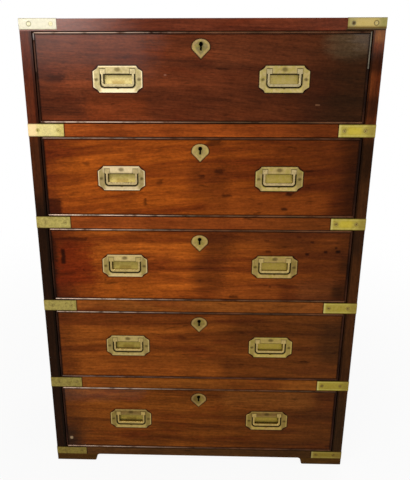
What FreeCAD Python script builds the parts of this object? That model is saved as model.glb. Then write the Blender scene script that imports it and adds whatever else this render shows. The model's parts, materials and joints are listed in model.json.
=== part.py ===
"""Campaign chest: five full-width drawers in a brass-bound carcass, on low bracket feet.

Millimetres. X runs to the viewer's right, +Y from the front to the back, +Z up. The origin is on the floor,
under the middle of the chest. Drawer 1 is the top drawer.
"""

import FreeCAD
import Part
import math
import os

from FreeCAD import Vector

# ---------------------------------------------------------------- carcass
carcass_width = 762.0
carcass_depth = 457.0
side_thickness = 25.0
top_thickness = 24.5
top_opening_height = 191.0
second_opening_height = 184.5
third_opening_height = 184.5
fourth_opening_height = 189.5
lowest_opening_height = 188.0
rail_thickness = 27.5
rail_depth = 70.0
base_rail_height = 21.5
base_rail_depth = 60.0
bottom_board_thickness = 12.0
runner_width = 30.0
housing_depth = 5.0
tenon_length = 12.0
tenon_thickness = 9.0
tenon_inset = 16.0
back_board_count = 4
back_board_thickness = 8.0
back_rebate_width = 12.0
back_board_gap = 0.8
wood_arris = 1.0

# Bracket feet
foot_height = 22.0
foot_length = 115.0
foot_thickness = 25.0
foot_ogee_width = 18.0
foot_edge_radius = 5.0

# ---------------------------------------------------------------- brass bindings
strap_length = 80.0
strap_thickness = 2.0
brass_proud = 0.6
brass_edge_radius = 1.0
corner_band = 22.0
binding_screw_near = 22.0
binding_screw_far = 68.0
corner_top_screw = 45.0
screw_head_radius = 3.6
screw_head_land = 0.3
screw_shank_radius = 1.7
screw_length = 11.0
screw_point = 2.0
screw_slot_width = 0.9
screw_slot_depth = 0.9
screw_turn_step = 47.0
screw_slack = 0.05

# ---------------------------------------------------------------- drawers
front_gap = 1.5
front_side_gap = 2.0
front_setback = 1.0
front_thickness = 24.0
bead_width = 4.5
bead_depth = 10.0
bead_proud = 1.6
field_arris = 0.7
drawer_side_thickness = 12.0
drawer_side_top_gap = 2.0
drawer_back_thickness = 10.0
drawer_back_drop = 6.0
drawer_rear_gap = 0.5
drawer_bottom_thickness = 8.0
drawer_bottom_lift = 10.0
drawer_bottom_groove = 6.0
dovetail_length = 13.0
dovetail_count = 4
dovetail_pin = 9.0
dovetail_slope = 1.0 / 7.0

# Flush handles, one each side of the middle of a drawer
handle_offset = 178.0
handle_drop = 1.4
plate_width = 107.0
plate_height = 56.0
plate_thickness = 2.5
plate_proud = 0.5
plate_edge_chamfer = 0.4
plate_corner_run = 13.0
plate_corner_drop = 11.5
plate_nib_run = 5.5
plate_nib_drop = 8.5
plate_cove_sag = 1.3
recess_width = 76.0
recess_height = 29.0
recess_top_margin = 17.0
recess_corner_radius = 9.0
dish_top_depth = 11.0
dish_bottom_depth = 6.5
dish_sag = 1.6
pan_wall = 2.0
pan_back = 1.5
pan_slack = 0.4
thumb_notch_radius = 3.6
thumb_notch_depth = 2.6
thumb_notch_cut = 1.8
knuckle_slot_width = 11.6
knuckle_slot_height = 11.0
knuckle_slot_depth = 9.6
knuckle_side_gap = 0.3
knuckle_top_gap = 0.8
bail_thickness = 4.2
bail_inset = 0.3
bail_gap = 2.4
bail_arm_width = 4.6
bail_bar_height = 6.0
bail_edge_radius = 0.9
hinge_pin_radius = 1.3
hinge_pin_bite = 1.8
hinge_running_gap = 0.05
hinge_seat_gap = 0.02
handle_screw_top_inset = 7.0
handle_screw_end_inset = 7.6

# Lock, escutcheon and bolt in the middle of a drawer
escutcheon_half_width = 19.5
escutcheon_crown = 15.8
escutcheon_drop = 24.0
escutcheon_shoulder_drop = 7.6
escutcheon_shoulder_run = 2.7
escutcheon_shoulder_sag = 0.9
escutcheon_tip_half = 2.2
escutcheon_tip_rise = 1.7
escutcheon_thickness = 1.5
escutcheon_proud = 0.5
escutcheon_edge_radius = 0.35
escutcheon_top_margin = 14.0
keyhole_drop = 10.5
keyhole_radius = 4.4
keyhole_length = 17.5
keyhole_neck = 3.2
keyhole_foot = 4.2
key_chamber_depth = 8.0
lock_case_width = 64.0
lock_case_height = 45.0
lock_case_depth = 12.0
lock_flange_width = 76.0
lock_flange_depth = 13.0
lock_flange_thickness = 2.0
bolt_width = 22.0
bolt_thickness = 5.0
bolt_length = 16.0
bolt_rest_drop = 0.5
bolt_slack = 0.2
strike_slack = 1.5
strike_depth = 9.0

# ---------------------------------------------------------------- places that follow from the sizes
half_width = carcass_width / 2
front_y = -carcass_depth / 2
back_y = carcass_depth / 2
opening_half = half_width - side_thickness
back_inner_y = back_y - back_board_thickness
base_z = foot_height
lowest_opening_z = base_z + base_rail_height
opening_heights = [
    top_opening_height,
    second_opening_height,
    third_opening_height,
    fourth_opening_height,
    lowest_opening_height,
]
drawer_count = len(opening_heights)
top_under_z = lowest_opening_z + sum(opening_heights) + (drawer_count - 1) * rail_thickness
carcass_top_z = top_under_z + top_thickness

drawer_half = opening_half - front_side_gap
face_y = front_y + front_setback
front_rear_y = face_y + front_thickness
drawer_rear_y = back_inner_y - drawer_rear_gap
drawer_inner_half = drawer_half - drawer_side_thickness
front_low_z = front_gap
bottom_top_z = drawer_bottom_lift + drawer_bottom_thickness

plate_half = plate_width / 2
plate_half_height = plate_height / 2
recess_half = recess_width / 2
recess_top = plate_half_height - recess_top_margin
recess_bottom = recess_top - recess_height
slot_top = recess_top + knuckle_slot_height
knuckle_top = slot_top - knuckle_top_gap
pivot_y = bail_inset - plate_proud + bail_thickness / 2
pivot_z = (recess_top + knuckle_top) / 2

bolt_y = front_rear_y - lock_case_depth / 2


class Levels:
    """Heights on one drawer above what it runs on, worked out from the height of its opening."""

    def __init__(self, opening_height):
        self.front_high = opening_height - front_gap
        self.side_high = opening_height - drawer_side_top_gap
        self.front_middle = (front_low_z + self.front_high) / 2
        self.handle = self.front_middle - handle_drop
        self.escutcheon = self.front_high - escutcheon_top_margin - escutcheon_crown
        self.keyhole = self.escutcheon + escutcheon_crown - keyhole_drop
        self.bolt_top = self.front_high - bolt_rest_drop


DRAWER_LEVELS = [Levels(height) for height in opening_heights]

# ---------------------------------------------------------------- helpers
X_AXIS = Vector(1, 0, 0)
Y_AXIS = Vector(0, 1, 0)
Z_AXIS = Vector(0, 0, 1)
ORIGIN = Vector(0, 0, 0)
TOUCH = 1e-6
OVERCUT = 1.0  # how far a cutting shape runs past the face that it opens


def block(x0, x1, y0, y1, z0, z1):
    """A rectangular block between two opposite corners."""
    return Part.makeBox(x1 - x0, y1 - y0, z1 - z0, Vector(x0, y0, z0))


def merged(shapes):
    """One solid from several that touch or overlap, with its flat faces joined up."""
    return shapes[0].fuse(shapes[1:]).removeSplitter()


def polygon(points):
    """A closed wire of straight edges through the points."""
    return Part.makePolygon(list(points) + [points[0]])


def line(a, b):
    return Part.LineSegment(a, b).toShape()


def arc(a, b, c):
    """A circular edge from a through b to c."""
    return Part.Arc(a, b, c).toShape()


def prism(edges, along):
    """A closed outline carried along a vector."""
    return Part.Face(Part.Wire(edges)).extrude(along)


def in_plane(edge, axis, level):
    """Whether every end of an edge lies at one level along an axis."""
    return all(abs(vertex.Point.dot(axis) - level) < TOUCH for vertex in edge.Vertexes)


def mirrored(shape, axis):
    """The shape reflected through the plane at the origin across an axis."""
    return shape.mirror(ORIGIN, axis)


def both_hands(shape):
    """A right-hand piece and its left-hand twin."""
    return [shape, mirrored(shape, X_AXIS)]


def moved(shape, offset):
    return shape.translated(offset)


def raised(shape, height):
    return moved(shape, Z_AXIS * height)


def facing(shape, point, direction, turn=0.0):
    """The shape with its own +Z turned towards a direction, spun about it, and its origin at a point."""
    turned = FreeCAD.Rotation(Z_AXIS, direction).multiply(FreeCAD.Rotation(Z_AXIS, turn))
    placed = shape.copy()
    placed.Placement = FreeCAD.Placement(point, turned)
    return placed


def save(name, shapes):
    """Writes one node: a single solid, or a group of separate ones."""
    solids = [solid for shape in shapes for solid in shape.Solids]
    whole = solids[0] if len(solids) == 1 else Part.makeCompound(solids)
    whole.exportStep(os.path.join("parts", name + ".step"))


# ---------------------------------------------------------------- screws
def screw_body(slack, above):
    """A countersunk screw with its head's top at z = 0, grown by a slack and carried up by a height."""
    head = screw_head_radius + slack
    shank = screw_shank_radius + slack
    neck = -screw_head_land - (screw_head_radius - screw_shank_radius)
    outline = [
        Vector(0, 0, above),
        Vector(head, 0, above),
        Vector(head, 0, -screw_head_land),
        Vector(shank, 0, neck),
        Vector(shank, 0, -screw_length + screw_point),
        Vector(0, 0, -screw_length - slack),
    ]
    return Part.Face(polygon(outline)).revolve(ORIGIN, Z_AXIS, 360)


def slotted_screw():
    half_slot = screw_slot_width / 2
    reach = screw_head_radius + OVERCUT
    slot = block(-reach, reach, -half_slot, half_slot, -screw_slot_depth, OVERCUT)
    return screw_body(0.0, 0.0).cut(slot)


SCREW = slotted_screw()
SCREW_HOLE = screw_body(screw_slack, OVERCUT)


def screws_at(places):
    """The screws, each with its slot left at its own angle, and the holes for them."""
    screws = [
        facing(SCREW, point, direction, screw_turn_step * number)
        for number, (point, direction) in enumerate(places)
    ]
    holes = [facing(SCREW_HOLE, point, direction) for point, direction in places]
    return screws, holes


# ---------------------------------------------------------------- brass bindings
outer_x = half_width + brass_proud
outer_y = front_y - brass_proud
outer_z = carcass_top_z + brass_proud


def rounded_corner(shape, corner_edges):
    return shape.makeFillet(brass_edge_radius, corner_edges)


def angle_strap(low_z, height):
    """A brass strip wrapped round the right front corner, with the places of its screws."""
    high_z = low_z + height
    front_leg = block(outer_x - strap_length, outer_x, outer_y, outer_y + strap_thickness, low_z, high_z)
    side_leg = block(outer_x - strap_thickness, outer_x, outer_y, outer_y + strap_length, low_z, high_z)
    strap = merged([front_leg, side_leg])
    corner = [
        edge
        for edge in strap.Edges
        if in_plane(edge, X_AXIS, outer_x) and in_plane(edge, Y_AXIS, outer_y)
    ]
    middle = (low_z + high_z) / 2
    places = []
    for distance in (binding_screw_near, binding_screw_far):
        places.append((Vector(outer_x - distance, outer_y, middle), -Y_AXIS))
        places.append((Vector(outer_x, outer_y + distance, middle), X_AXIS))
    return rounded_corner(strap, corner), places


def corner_brass():
    """A three-way brass for the right front top corner, with the places of its screws."""
    long_x = outer_x - strap_length
    long_y = outer_y + strap_length
    low_z = outer_z - corner_band
    skin = strap_thickness
    brass = merged(
        [
            block(long_x, outer_x, outer_y, outer_y + skin, low_z, outer_z),
            block(outer_x - skin, outer_x, outer_y, long_y, low_z, outer_z),
            block(long_x, outer_x, outer_y, outer_y + corner_band, outer_z - skin, outer_z),
            block(outer_x - corner_band, outer_x, outer_y, long_y, outer_z - skin, outer_z),
        ]
    )
    corner = [
        edge
        for edge in brass.Edges
        if in_plane(edge, X_AXIS, outer_x) + in_plane(edge, Y_AXIS, outer_y) + in_plane(edge, Z_AXIS, outer_z)
        == 2
    ]
    middle_z = outer_z - corner_band / 2
    places = []
    for distance in (binding_screw_near, binding_screw_far):
        places.append((Vector(outer_x - distance, outer_y, middle_z), -Y_AXIS))
        places.append((Vector(outer_x, outer_y + distance, middle_z), X_AXIS))
    inset = corner_band / 2
    places.append((Vector(outer_x - corner_top_screw, outer_y + inset, outer_z), Z_AXIS))
    places.append((Vector(outer_x - inset, outer_y + corner_top_screw, outer_z), Z_AXIS))
    return rounded_corner(brass, corner), places


def reflected_places(places, axis):
    """Screw places reflected through the plane at the origin across an axis."""
    return [
        (point - axis * (2 * point.dot(axis)), direction - axis * (2 * direction.dot(axis)))
        for point, direction in places
    ]


def bindings():
    """Corner brasses, straps, their screws, and the holes that the screws need."""
    brass, brass_places = corner_brass()
    brasses = both_hands(brass) + both_hands(mirrored(brass, Y_AXIS))
    rear_places = reflected_places(brass_places, Y_AXIS)
    places = brass_places + reflected_places(brass_places, X_AXIS)
    places += rear_places + reflected_places(rear_places, X_AXIS)

    levels = [(base_z, base_rail_height)]
    levels += [(opening_floor(number) - rail_thickness, rail_thickness) for number in range(1, drawer_count)]
    straps = []
    for low_z, height in levels:
        strap, strap_places = angle_strap(low_z, height)
        straps += both_hands(strap)
        places += strap_places + reflected_places(strap_places, X_AXIS)
    screws, holes = screws_at(places)
    return brasses, straps, screws, holes


# ---------------------------------------------------------------- carcass pieces
def opening_floor(number):
    """The level that drawer 1, 2, ... runs on, counted from the top."""
    return lowest_opening_z + sum(opening_heights[number:]) + (drawer_count - number) * rail_thickness


def rail(front, depth, low_z, height):
    """A rail between the sides with a stub tenon at each end."""
    body = block(-opening_half, opening_half, front, front + depth, low_z, low_z + height)
    middle = low_z + height / 2
    reach = opening_half + tenon_length
    tenons = block(
        -reach,
        reach,
        front + tenon_inset,
        front + depth - tenon_inset,
        middle - tenon_thickness / 2,
        middle + tenon_thickness / 2,
    )
    return merged([body, tenons])


def strike_mortise(under_z):
    """The slot above a drawer that its lock bolt rises into."""
    reach_x = bolt_width / 2 + strike_slack
    reach_y = bolt_thickness / 2 + strike_slack
    return block(-reach_x, reach_x, bolt_y - reach_y, bolt_y + reach_y, under_z, under_z + strike_depth)


def top_board():
    board = block(-half_width, half_width, front_y, back_y, top_under_z, carcass_top_z)
    worn = [edge for edge in board.Edges if not in_plane(edge, Z_AXIS, top_under_z)]
    return board.makeFillet(wood_arris, worn).cut(strike_mortise(top_under_z))


def side_panel():
    """The right side, with the rebate that the back boards sit in."""
    panel = block(opening_half, half_width, front_y, back_y, base_z, top_under_z)
    worn = [
        edge
        for edge in panel.Edges
        if in_plane(edge, X_AXIS, half_width) and abs(edge.Length - (top_under_z - base_z)) < TOUCH
    ]
    rebate = block(
        opening_half, opening_half + back_rebate_width, back_inner_y, back_y, base_z, top_under_z
    )
    return panel.makeFillet(wood_arris, worn).cut(rebate)


def runner(floor_z):
    """The right-hand strip behind a rail, which carries one drawer and keeps the one below level."""
    return block(
        opening_half - runner_width,
        opening_half + housing_depth,
        front_y + rail_depth,
        back_inner_y,
        floor_z - rail_thickness,
        floor_z,
    )


def bottom_board():
    reach = opening_half + housing_depth
    return block(
        -reach,
        reach,
        front_y + base_rail_depth,
        back_inner_y - base_rail_depth,
        lowest_opening_z - bottom_board_thickness,
        lowest_opening_z,
    )


def back_boards():
    """Upright boards side by side in the rebates."""
    reach = opening_half + back_rebate_width
    board_width = (2 * reach - (back_board_count + 1) * back_board_gap) / back_board_count
    boards = []
    for number in range(back_board_count):
        left = -reach + back_board_gap + number * (board_width + back_board_gap)
        boards.append(block(left, left + board_width, back_inner_y, back_y, base_z, top_under_z))
    return boards


def foot_bracket():
    """Half a foot along +X, its outer face at y = 0 and its mitre at the origin.

    The inner end is an ogee: a hollow quarter below the carcass, then a round quarter down to the floor.
    """
    ogee_x = foot_length - foot_ogee_width
    middle_x = foot_length - foot_ogee_width / 2
    half_run = foot_ogee_width / 2
    half_rise = foot_height / 2
    lean = math.sqrt(0.5)
    floor_point = Vector(ogee_x, 0, 0)
    middle_point = Vector(middle_x, 0, half_rise)
    high_point = Vector(foot_length, 0, foot_height)
    round_via = Vector(ogee_x + half_run * lean, 0, half_rise * (1 - lean))
    hollow_via = Vector(foot_length - half_run * lean, 0, foot_height - half_rise * (1 - lean))
    heel = Vector(0, 0, 0)
    heel_top = Vector(0, 0, foot_height)
    outline = [
        line(heel, floor_point),
        arc(floor_point, round_via, middle_point),
        arc(middle_point, hollow_via, high_point),
        line(high_point, heel_top),
        line(heel_top, heel),
    ]
    bracket = prism(outline, Y_AXIS * foot_thickness)
    outer_edge = [
        edge
        for edge in bracket.Edges
        if in_plane(edge, Y_AXIS, 0) and in_plane(edge, Z_AXIS, 0) and edge.Length > foot_thickness
    ]
    bracket = bracket.makeFillet(foot_edge_radius, outer_edge)
    corners = [Vector(0, 0, 0), Vector(foot_thickness, foot_thickness, 0), Vector(0, foot_thickness, 0)]
    mitre = Part.Face(polygon(corners)).extrude(Z_AXIS * foot_height)
    return bracket.cut(mitre)


def bracket_feet():
    """Four feet, each of two mitred brackets."""
    bracket = foot_bracket()
    twin = bracket.mirror(ORIGIN, X_AXIS - Y_AXIS)
    pair = [moved(piece, Vector(-half_width, front_y, 0)) for piece in (bracket, twin)]
    fronts = pair + [mirrored(piece, X_AXIS) for piece in pair]
    return fronts + [mirrored(piece, Y_AXIS) for piece in fronts]


def build_carcass():
    brasses, straps, screws, holes = bindings()
    floors = [opening_floor(number) for number in range(1, drawer_count)]
    rails = [rail(front_y, rail_depth, floor_z - rail_thickness, rail_thickness) for floor_z in floors]
    base_rails = [
        rail(front_y, base_rail_depth, base_z, base_rail_height),
        rail(back_inner_y - base_rail_depth, base_rail_depth, base_z, base_rail_height),
    ]
    runners = [piece for floor_z in floors for piece in both_hands(runner(floor_z))]
    bottom = bottom_board()

    side_tools = rails + base_rails + runners + [bottom] + straps + holes
    right, left = both_hands(side_panel())
    save("side_panel_right", [right.cut(side_tools)])
    save("side_panel_left", [left.cut(side_tools)])
    save("top_board", [top_board().cut(brasses + holes)])
    for number, shape in enumerate(rails, 1):
        mortise = strike_mortise(opening_floor(number) - rail_thickness)
        save(f"drawer_rail_{number}", [shape.cut([mortise] + straps + holes)])
    save("base_rails", [shape.cut(straps + holes) for shape in base_rails])
    save("drawer_runners", runners)
    save("bottom_board", [bottom])
    save("back_boards", back_boards())
    save("bracket_feet", bracket_feet())
    save("top_corner_brasses", [shape.cut(holes) for shape in brasses])
    save("corner_straps", [shape.cut(holes) for shape in straps])
    save("binding_screws", screws)


# ---------------------------------------------------------------- handles
def plate_blank():
    """The handle plate's outline, its corners coved between small shoulders, at its full thickness."""
    front = -plate_proud
    corners = [(1, 1), (1, -1), (-1, -1), (-1, 1)]
    edges = []
    last = None
    first = None
    for right, up in corners:
        on_top = Vector(right * (plate_half - plate_corner_run), front, up * plate_half_height)
        nib = Vector(right * (plate_half - plate_nib_run), front, up * (plate_half_height - plate_nib_drop))
        on_end = Vector(right * plate_half, front, up * (plate_half_height - plate_corner_drop))
        inward = Vector(-right, 0, -up).normalize() * plate_cove_sag
        via = (on_top + nib) * 0.5 + inward
        if right * up > 0:
            start, finish = on_top, on_end
            run = [arc(on_top, via, nib), line(nib, on_end)]
        else:
            start, finish = on_end, on_top
            run = [line(on_end, nib), arc(nib, via, on_top)]
        if last is None:
            first = start
        else:
            edges.append(line(last, start))
        edges += run
        last = finish
    edges.append(line(last, first))
    return prism(edges, Y_AXIS * plate_thickness)


def front_edges(shape, level):
    """The edges round a face at y = level."""
    return [edge for edge in shape.Edges if in_plane(edge, Y_AXIS, level)]


def recess_outline(margin, front):
    """The recess seen from the front, grown by a margin, with its two lower corners rounded."""
    right = recess_half + margin
    top = recess_top + margin
    low = recess_bottom - margin
    radius = recess_corner_radius + margin
    inner = radius * (1 - math.sqrt(0.5))
    points = [
        Vector(-right, front, top),
        Vector(right, front, top),
        Vector(right, front, low + radius),
        Vector(right - radius, front, low),
        Vector(radius - right, front, low),
        Vector(-right, front, low + radius),
    ]
    return [
        line(points[0], points[1]),
        line(points[1], points[2]),
        arc(points[2], Vector(right - inner, front, low + inner), points[3]),
        line(points[3], points[4]),
        arc(points[4], Vector(inner - right, front, low + inner), points[5]),
        line(points[5], points[0]),
    ]


def dish():
    """The hollow of the pan in section: deep at the top, its back sweeping forward to the bottom."""
    front = -plate_proud - OVERCUT
    reach = recess_half + OVERCUT
    high = Vector(-reach, dish_top_depth, recess_top)
    low = Vector(-reach, dish_bottom_depth, recess_bottom)
    middle = (high + low) * 0.5 + Y_AXIS * dish_sag
    outline = [
        line(Vector(-reach, front, recess_top), high),
        arc(high, middle, low),
        line(low, Vector(-reach, front, recess_bottom)),
        line(Vector(-reach, front, recess_bottom), Vector(-reach, front, recess_top)),
    ]
    return prism(outline, X_AXIS * (2 * reach))


def knuckle_slot(margin, front, depth):
    """The right-hand slot above the recess, grown by a margin."""
    return block(
        recess_half - knuckle_slot_width - margin,
        recess_half + margin,
        front,
        depth,
        recess_top - margin,
        slot_top + margin,
    )


def pan_body(slack):
    """The outside of the pan behind the plate, grown by a slack."""
    margin = pan_wall + slack
    depth = dish_top_depth + pan_back + slack
    bowl = prism(recess_outline(margin, 0), Y_AXIS * depth)
    slots = both_hands(knuckle_slot(margin, 0, knuckle_slot_depth + pan_back + slack))
    return merged([bowl] + slots)


def hinge_pin_cylinder(radius):
    """The right-hand hinge pin, through the pan's outer cheek and the knuckle into the inner cheek."""
    start = recess_half - knuckle_slot_width - hinge_pin_bite
    length = recess_half + pan_wall - start
    return Part.makeCylinder(radius, length, Vector(start, pivot_y, pivot_z), X_AXIS)


def handle_screw_places():
    front = -plate_proud
    end_x = plate_half - handle_screw_end_inset
    return [
        (Vector(0, front, plate_half_height - handle_screw_top_inset), -Y_AXIS),
        (Vector(-end_x, front, 0), -Y_AXIS),
        (Vector(end_x, front, 0), -Y_AXIS),
    ]


def handle_plate(holes):
    """Plate and pan in one casting, open at the recess and at the two knuckle slots."""
    blank = plate_blank()
    plate = blank.makeChamfer(plate_edge_chamfer, front_edges(blank, -plate_proud))
    front = -plate_proud - OVERCUT
    hollow = prism(recess_outline(0, front), Y_AXIS * (dish_top_depth + dish_sag - front)).common(dish())
    slots = both_hands(knuckle_slot(0, front, knuckle_slot_depth))
    notch = Part.makeCylinder(
        thumb_notch_radius,
        thumb_notch_cut - front,
        Vector(0, front, recess_bottom + thumb_notch_radius - thumb_notch_depth),
        Y_AXIS,
    )
    pins = both_hands(hinge_pin_cylinder(hinge_pin_radius + hinge_seat_gap))
    return merged([plate, pan_body(0)]).cut([hollow, notch] + slots + pins + holes)


def bail():
    """A U of flat bar hanging from two square knuckles, with the bores for its hinge pins."""
    front = bail_inset - plate_proud
    outer = recess_half - bail_gap
    inner = outer - bail_arm_width
    low = recess_bottom + bail_gap
    bar_top = low + bail_bar_height
    outer_radius = recess_corner_radius - bail_gap
    inner_radius = outer_radius - bail_arm_width
    lean = 1 - math.sqrt(0.5)

    def corner(reach, level, radius, right):
        """A rounded lower corner, from the arm down to the bar."""
        side = Vector(right * reach, front, level + radius)
        via = Vector(right * (reach - radius * lean), front, level + radius * lean)
        under = Vector(right * (reach - radius), front, level)
        return side, via, under

    outer_right = corner(outer, low, outer_radius, 1)
    outer_left = corner(outer, low, outer_radius, -1)
    inner_right = corner(inner, bar_top, inner_radius, 1)
    inner_left = corner(inner, bar_top, inner_radius, -1)
    top = recess_top
    outline = [
        line(Vector(inner, front, top), Vector(outer, front, top)),
        line(Vector(outer, front, top), outer_right[0]),
        arc(*outer_right),
        line(outer_right[2], outer_left[2]),
        arc(*reversed(outer_left)),
        line(outer_left[0], Vector(-outer, front, top)),
        line(Vector(-outer, front, top), Vector(-inner, front, top)),
        line(Vector(-inner, front, top), inner_left[0]),
        arc(*inner_left),
        line(inner_left[2], inner_right[2]),
        arc(*reversed(inner_right)),
        line(inner_right[0], Vector(inner, front, top)),
    ]
    bow = prism(outline, Y_AXIS * bail_thickness)
    worn = [
        edge
        for edge in bow.Edges
        if in_plane(edge, Y_AXIS, front) and not in_plane(edge, Z_AXIS, top)
    ]
    bow = bow.makeFillet(bail_edge_radius, worn)
    knuckle = block(
        recess_half - knuckle_slot_width + knuckle_side_gap,
        recess_half - knuckle_side_gap,
        front,
        front + bail_thickness,
        recess_top,
        knuckle_top,
    )
    bores = both_hands(hinge_pin_cylinder(hinge_pin_radius + hinge_running_gap))
    return merged([bow] + both_hands(knuckle)).cut(bores)


# ---------------------------------------------------------------- lock
def escutcheon_blank():
    """The shield: an elliptical crown, rounded shoulders, straight sides and a blunt tip."""
    front = -escutcheon_proud
    half = escutcheon_half_width
    crown = Part.Ellipse(
        Vector(half, front, 0), Vector(0, front, escutcheon_crown), Vector(0, front, 0)
    )
    crown_edge = Part.Arc(crown, 0, math.pi).toShape()
    shoulder_x = half - escutcheon_shoulder_run
    shoulder_z = -escutcheon_shoulder_drop
    tip_z = escutcheon_tip_rise - escutcheon_drop
    edges = [crown_edge]
    for right in (1, -1):
        wide = Vector(right * half, front, 0)
        shoulder = Vector(right * shoulder_x, front, shoulder_z)
        outward = (shoulder - wide).cross(Y_AXIS).normalize() * (right * escutcheon_shoulder_sag)
        tip = Vector(right * escutcheon_tip_half, front, tip_z)
        edges += [arc(wide, (wide + shoulder) * 0.5 + outward, shoulder), line(shoulder, tip)]
    left_tip = Vector(-escutcheon_tip_half, front, tip_z)
    right_tip = Vector(escutcheon_tip_half, front, tip_z)
    edges.append(arc(left_tip, Vector(0, front, -escutcheon_drop), right_tip))
    return prism(Part.__sortEdges__(edges), Y_AXIS * escutcheon_thickness)


def keyhole(front, depth, levels):
    """A round hole over a narrow slot, at the lock's key centre."""
    centre = Vector(0, front, levels.keyhole)
    barrel = Part.makeCylinder(keyhole_radius, depth, centre, Y_AXIS)
    low = levels.keyhole + keyhole_radius - keyhole_length
    corners = [
        Vector(-keyhole_neck / 2, front, levels.keyhole),
        Vector(keyhole_neck / 2, front, levels.keyhole),
        Vector(keyhole_foot / 2, front, low),
        Vector(-keyhole_foot / 2, front, low),
    ]
    slot = Part.Face(polygon(corners)).extrude(Y_AXIS * depth)
    return merged([barrel, slot])


def lock_blank(levels):
    """Case and top flange, let into the back of a drawer front."""
    top = levels.front_high
    case = block(
        -lock_case_width / 2,
        lock_case_width / 2,
        front_rear_y - lock_case_depth,
        front_rear_y,
        top - lock_case_height,
        top,
    )
    flange = block(
        -lock_flange_width / 2,
        lock_flange_width / 2,
        front_rear_y - lock_flange_depth,
        front_rear_y,
        top - lock_flange_thickness,
        top,
    )
    return merged([case, flange])


def bolt_block(slack, levels, top):
    """The lock's bolt grown by a slack, up to a level."""
    return block(
        -bolt_width / 2 - slack,
        bolt_width / 2 + slack,
        bolt_y - bolt_thickness / 2 - slack,
        bolt_y + bolt_thickness / 2 + slack,
        levels.bolt_top - bolt_length - slack,
        top,
    )


# ---------------------------------------------------------------- drawer pieces, standing on z = 0
def tails(x0, x1, root_y, tip_y, low_z, high_z):
    """Dovetails across a board's thickness, narrow at the root and wider at the tip."""
    pitch = (high_z - low_z - dovetail_pin) / dovetail_count
    spread = abs(tip_y - root_y) * dovetail_slope
    pieces = []
    for number in range(dovetail_count):
        low = low_z + dovetail_pin + number * pitch
        high = low + pitch - dovetail_pin
        corners = [
            Vector(x0, root_y, low),
            Vector(x0, tip_y, low - spread),
            Vector(x0, tip_y, high + spread),
            Vector(x0, root_y, high),
        ]
        pieces.append(Part.Face(polygon(corners)).extrude(X_AXIS * (x1 - x0)))
    return pieces


def bead_strip(length):
    """A round-nosed strip along X, mitred at both ends; its outer edge at z = 0, its back at y = 0."""
    radius = bead_width / 2
    nose = -bead_depth - bead_proud
    start = -length / 2
    shoulder = nose + radius
    outline = [
        line(Vector(start, 0, 0), Vector(start, shoulder, 0)),
        arc(
            Vector(start, shoulder, 0),
            Vector(start, nose, -radius),
            Vector(start, shoulder, -bead_width),
        ),
        line(Vector(start, shoulder, -bead_width), Vector(start, 0, -bead_width)),
        line(Vector(start, 0, -bead_width), Vector(start, 0, 0)),
    ]
    strip = prism(outline, X_AXIS * length)
    corners = [
        Vector(start, nose - OVERCUT, 0),
        Vector(-start, nose - OVERCUT, 0),
        Vector(-start - bead_width, nose - OVERCUT, -bead_width),
        Vector(start + bead_width, nose - OVERCUT, -bead_width),
    ]
    mitred = Part.Face(polygon(corners)).extrude(Y_AXIS * (2 * OVERCUT - nose))
    return strip.common(mitred)


def cockbeads(levels):
    """Four mitred strips round a drawer front."""
    width = 2 * drawer_half
    height = levels.front_high - front_low_z
    back = face_y + bead_depth
    strips = []
    for quarter in range(4):
        upright = quarter % 2
        length = height if upright else width
        reach = width / 2 if upright else height / 2
        strip = raised(bead_strip(length), reach)
        strip.rotate(ORIGIN, Y_AXIS, 90 * quarter)
        strips.append(moved(strip, Vector(0, back, levels.front_middle)))
    return strips


def front_board(levels):
    """The drawer front's raised field on its full-size back, leaving a rebate all round for the beads."""
    field = block(
        -drawer_half + bead_width,
        drawer_half - bead_width,
        face_y,
        face_y + bead_depth,
        front_low_z + bead_width,
        levels.front_high - bead_width,
    )
    field = field.makeChamfer(field_arris, front_edges(field, face_y))
    body = block(
        -drawer_half, drawer_half, face_y + bead_depth, front_rear_y, front_low_z, levels.front_high
    )
    return merged([field, body])


class FlushHandle:
    """A handle about its own centre: its fixed pieces, its bail, and its pocket in a drawer front."""

    def __init__(self):
        screws, holes = screws_at(handle_screw_places())
        pins = both_hands(hinge_pin_cylinder(hinge_pin_radius))
        self.fixed = [handle_plate(holes)] + pins + screws
        self.swinging = bail()
        self.pocket = [plate_blank(), pan_body(pan_slack)] + holes


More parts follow.
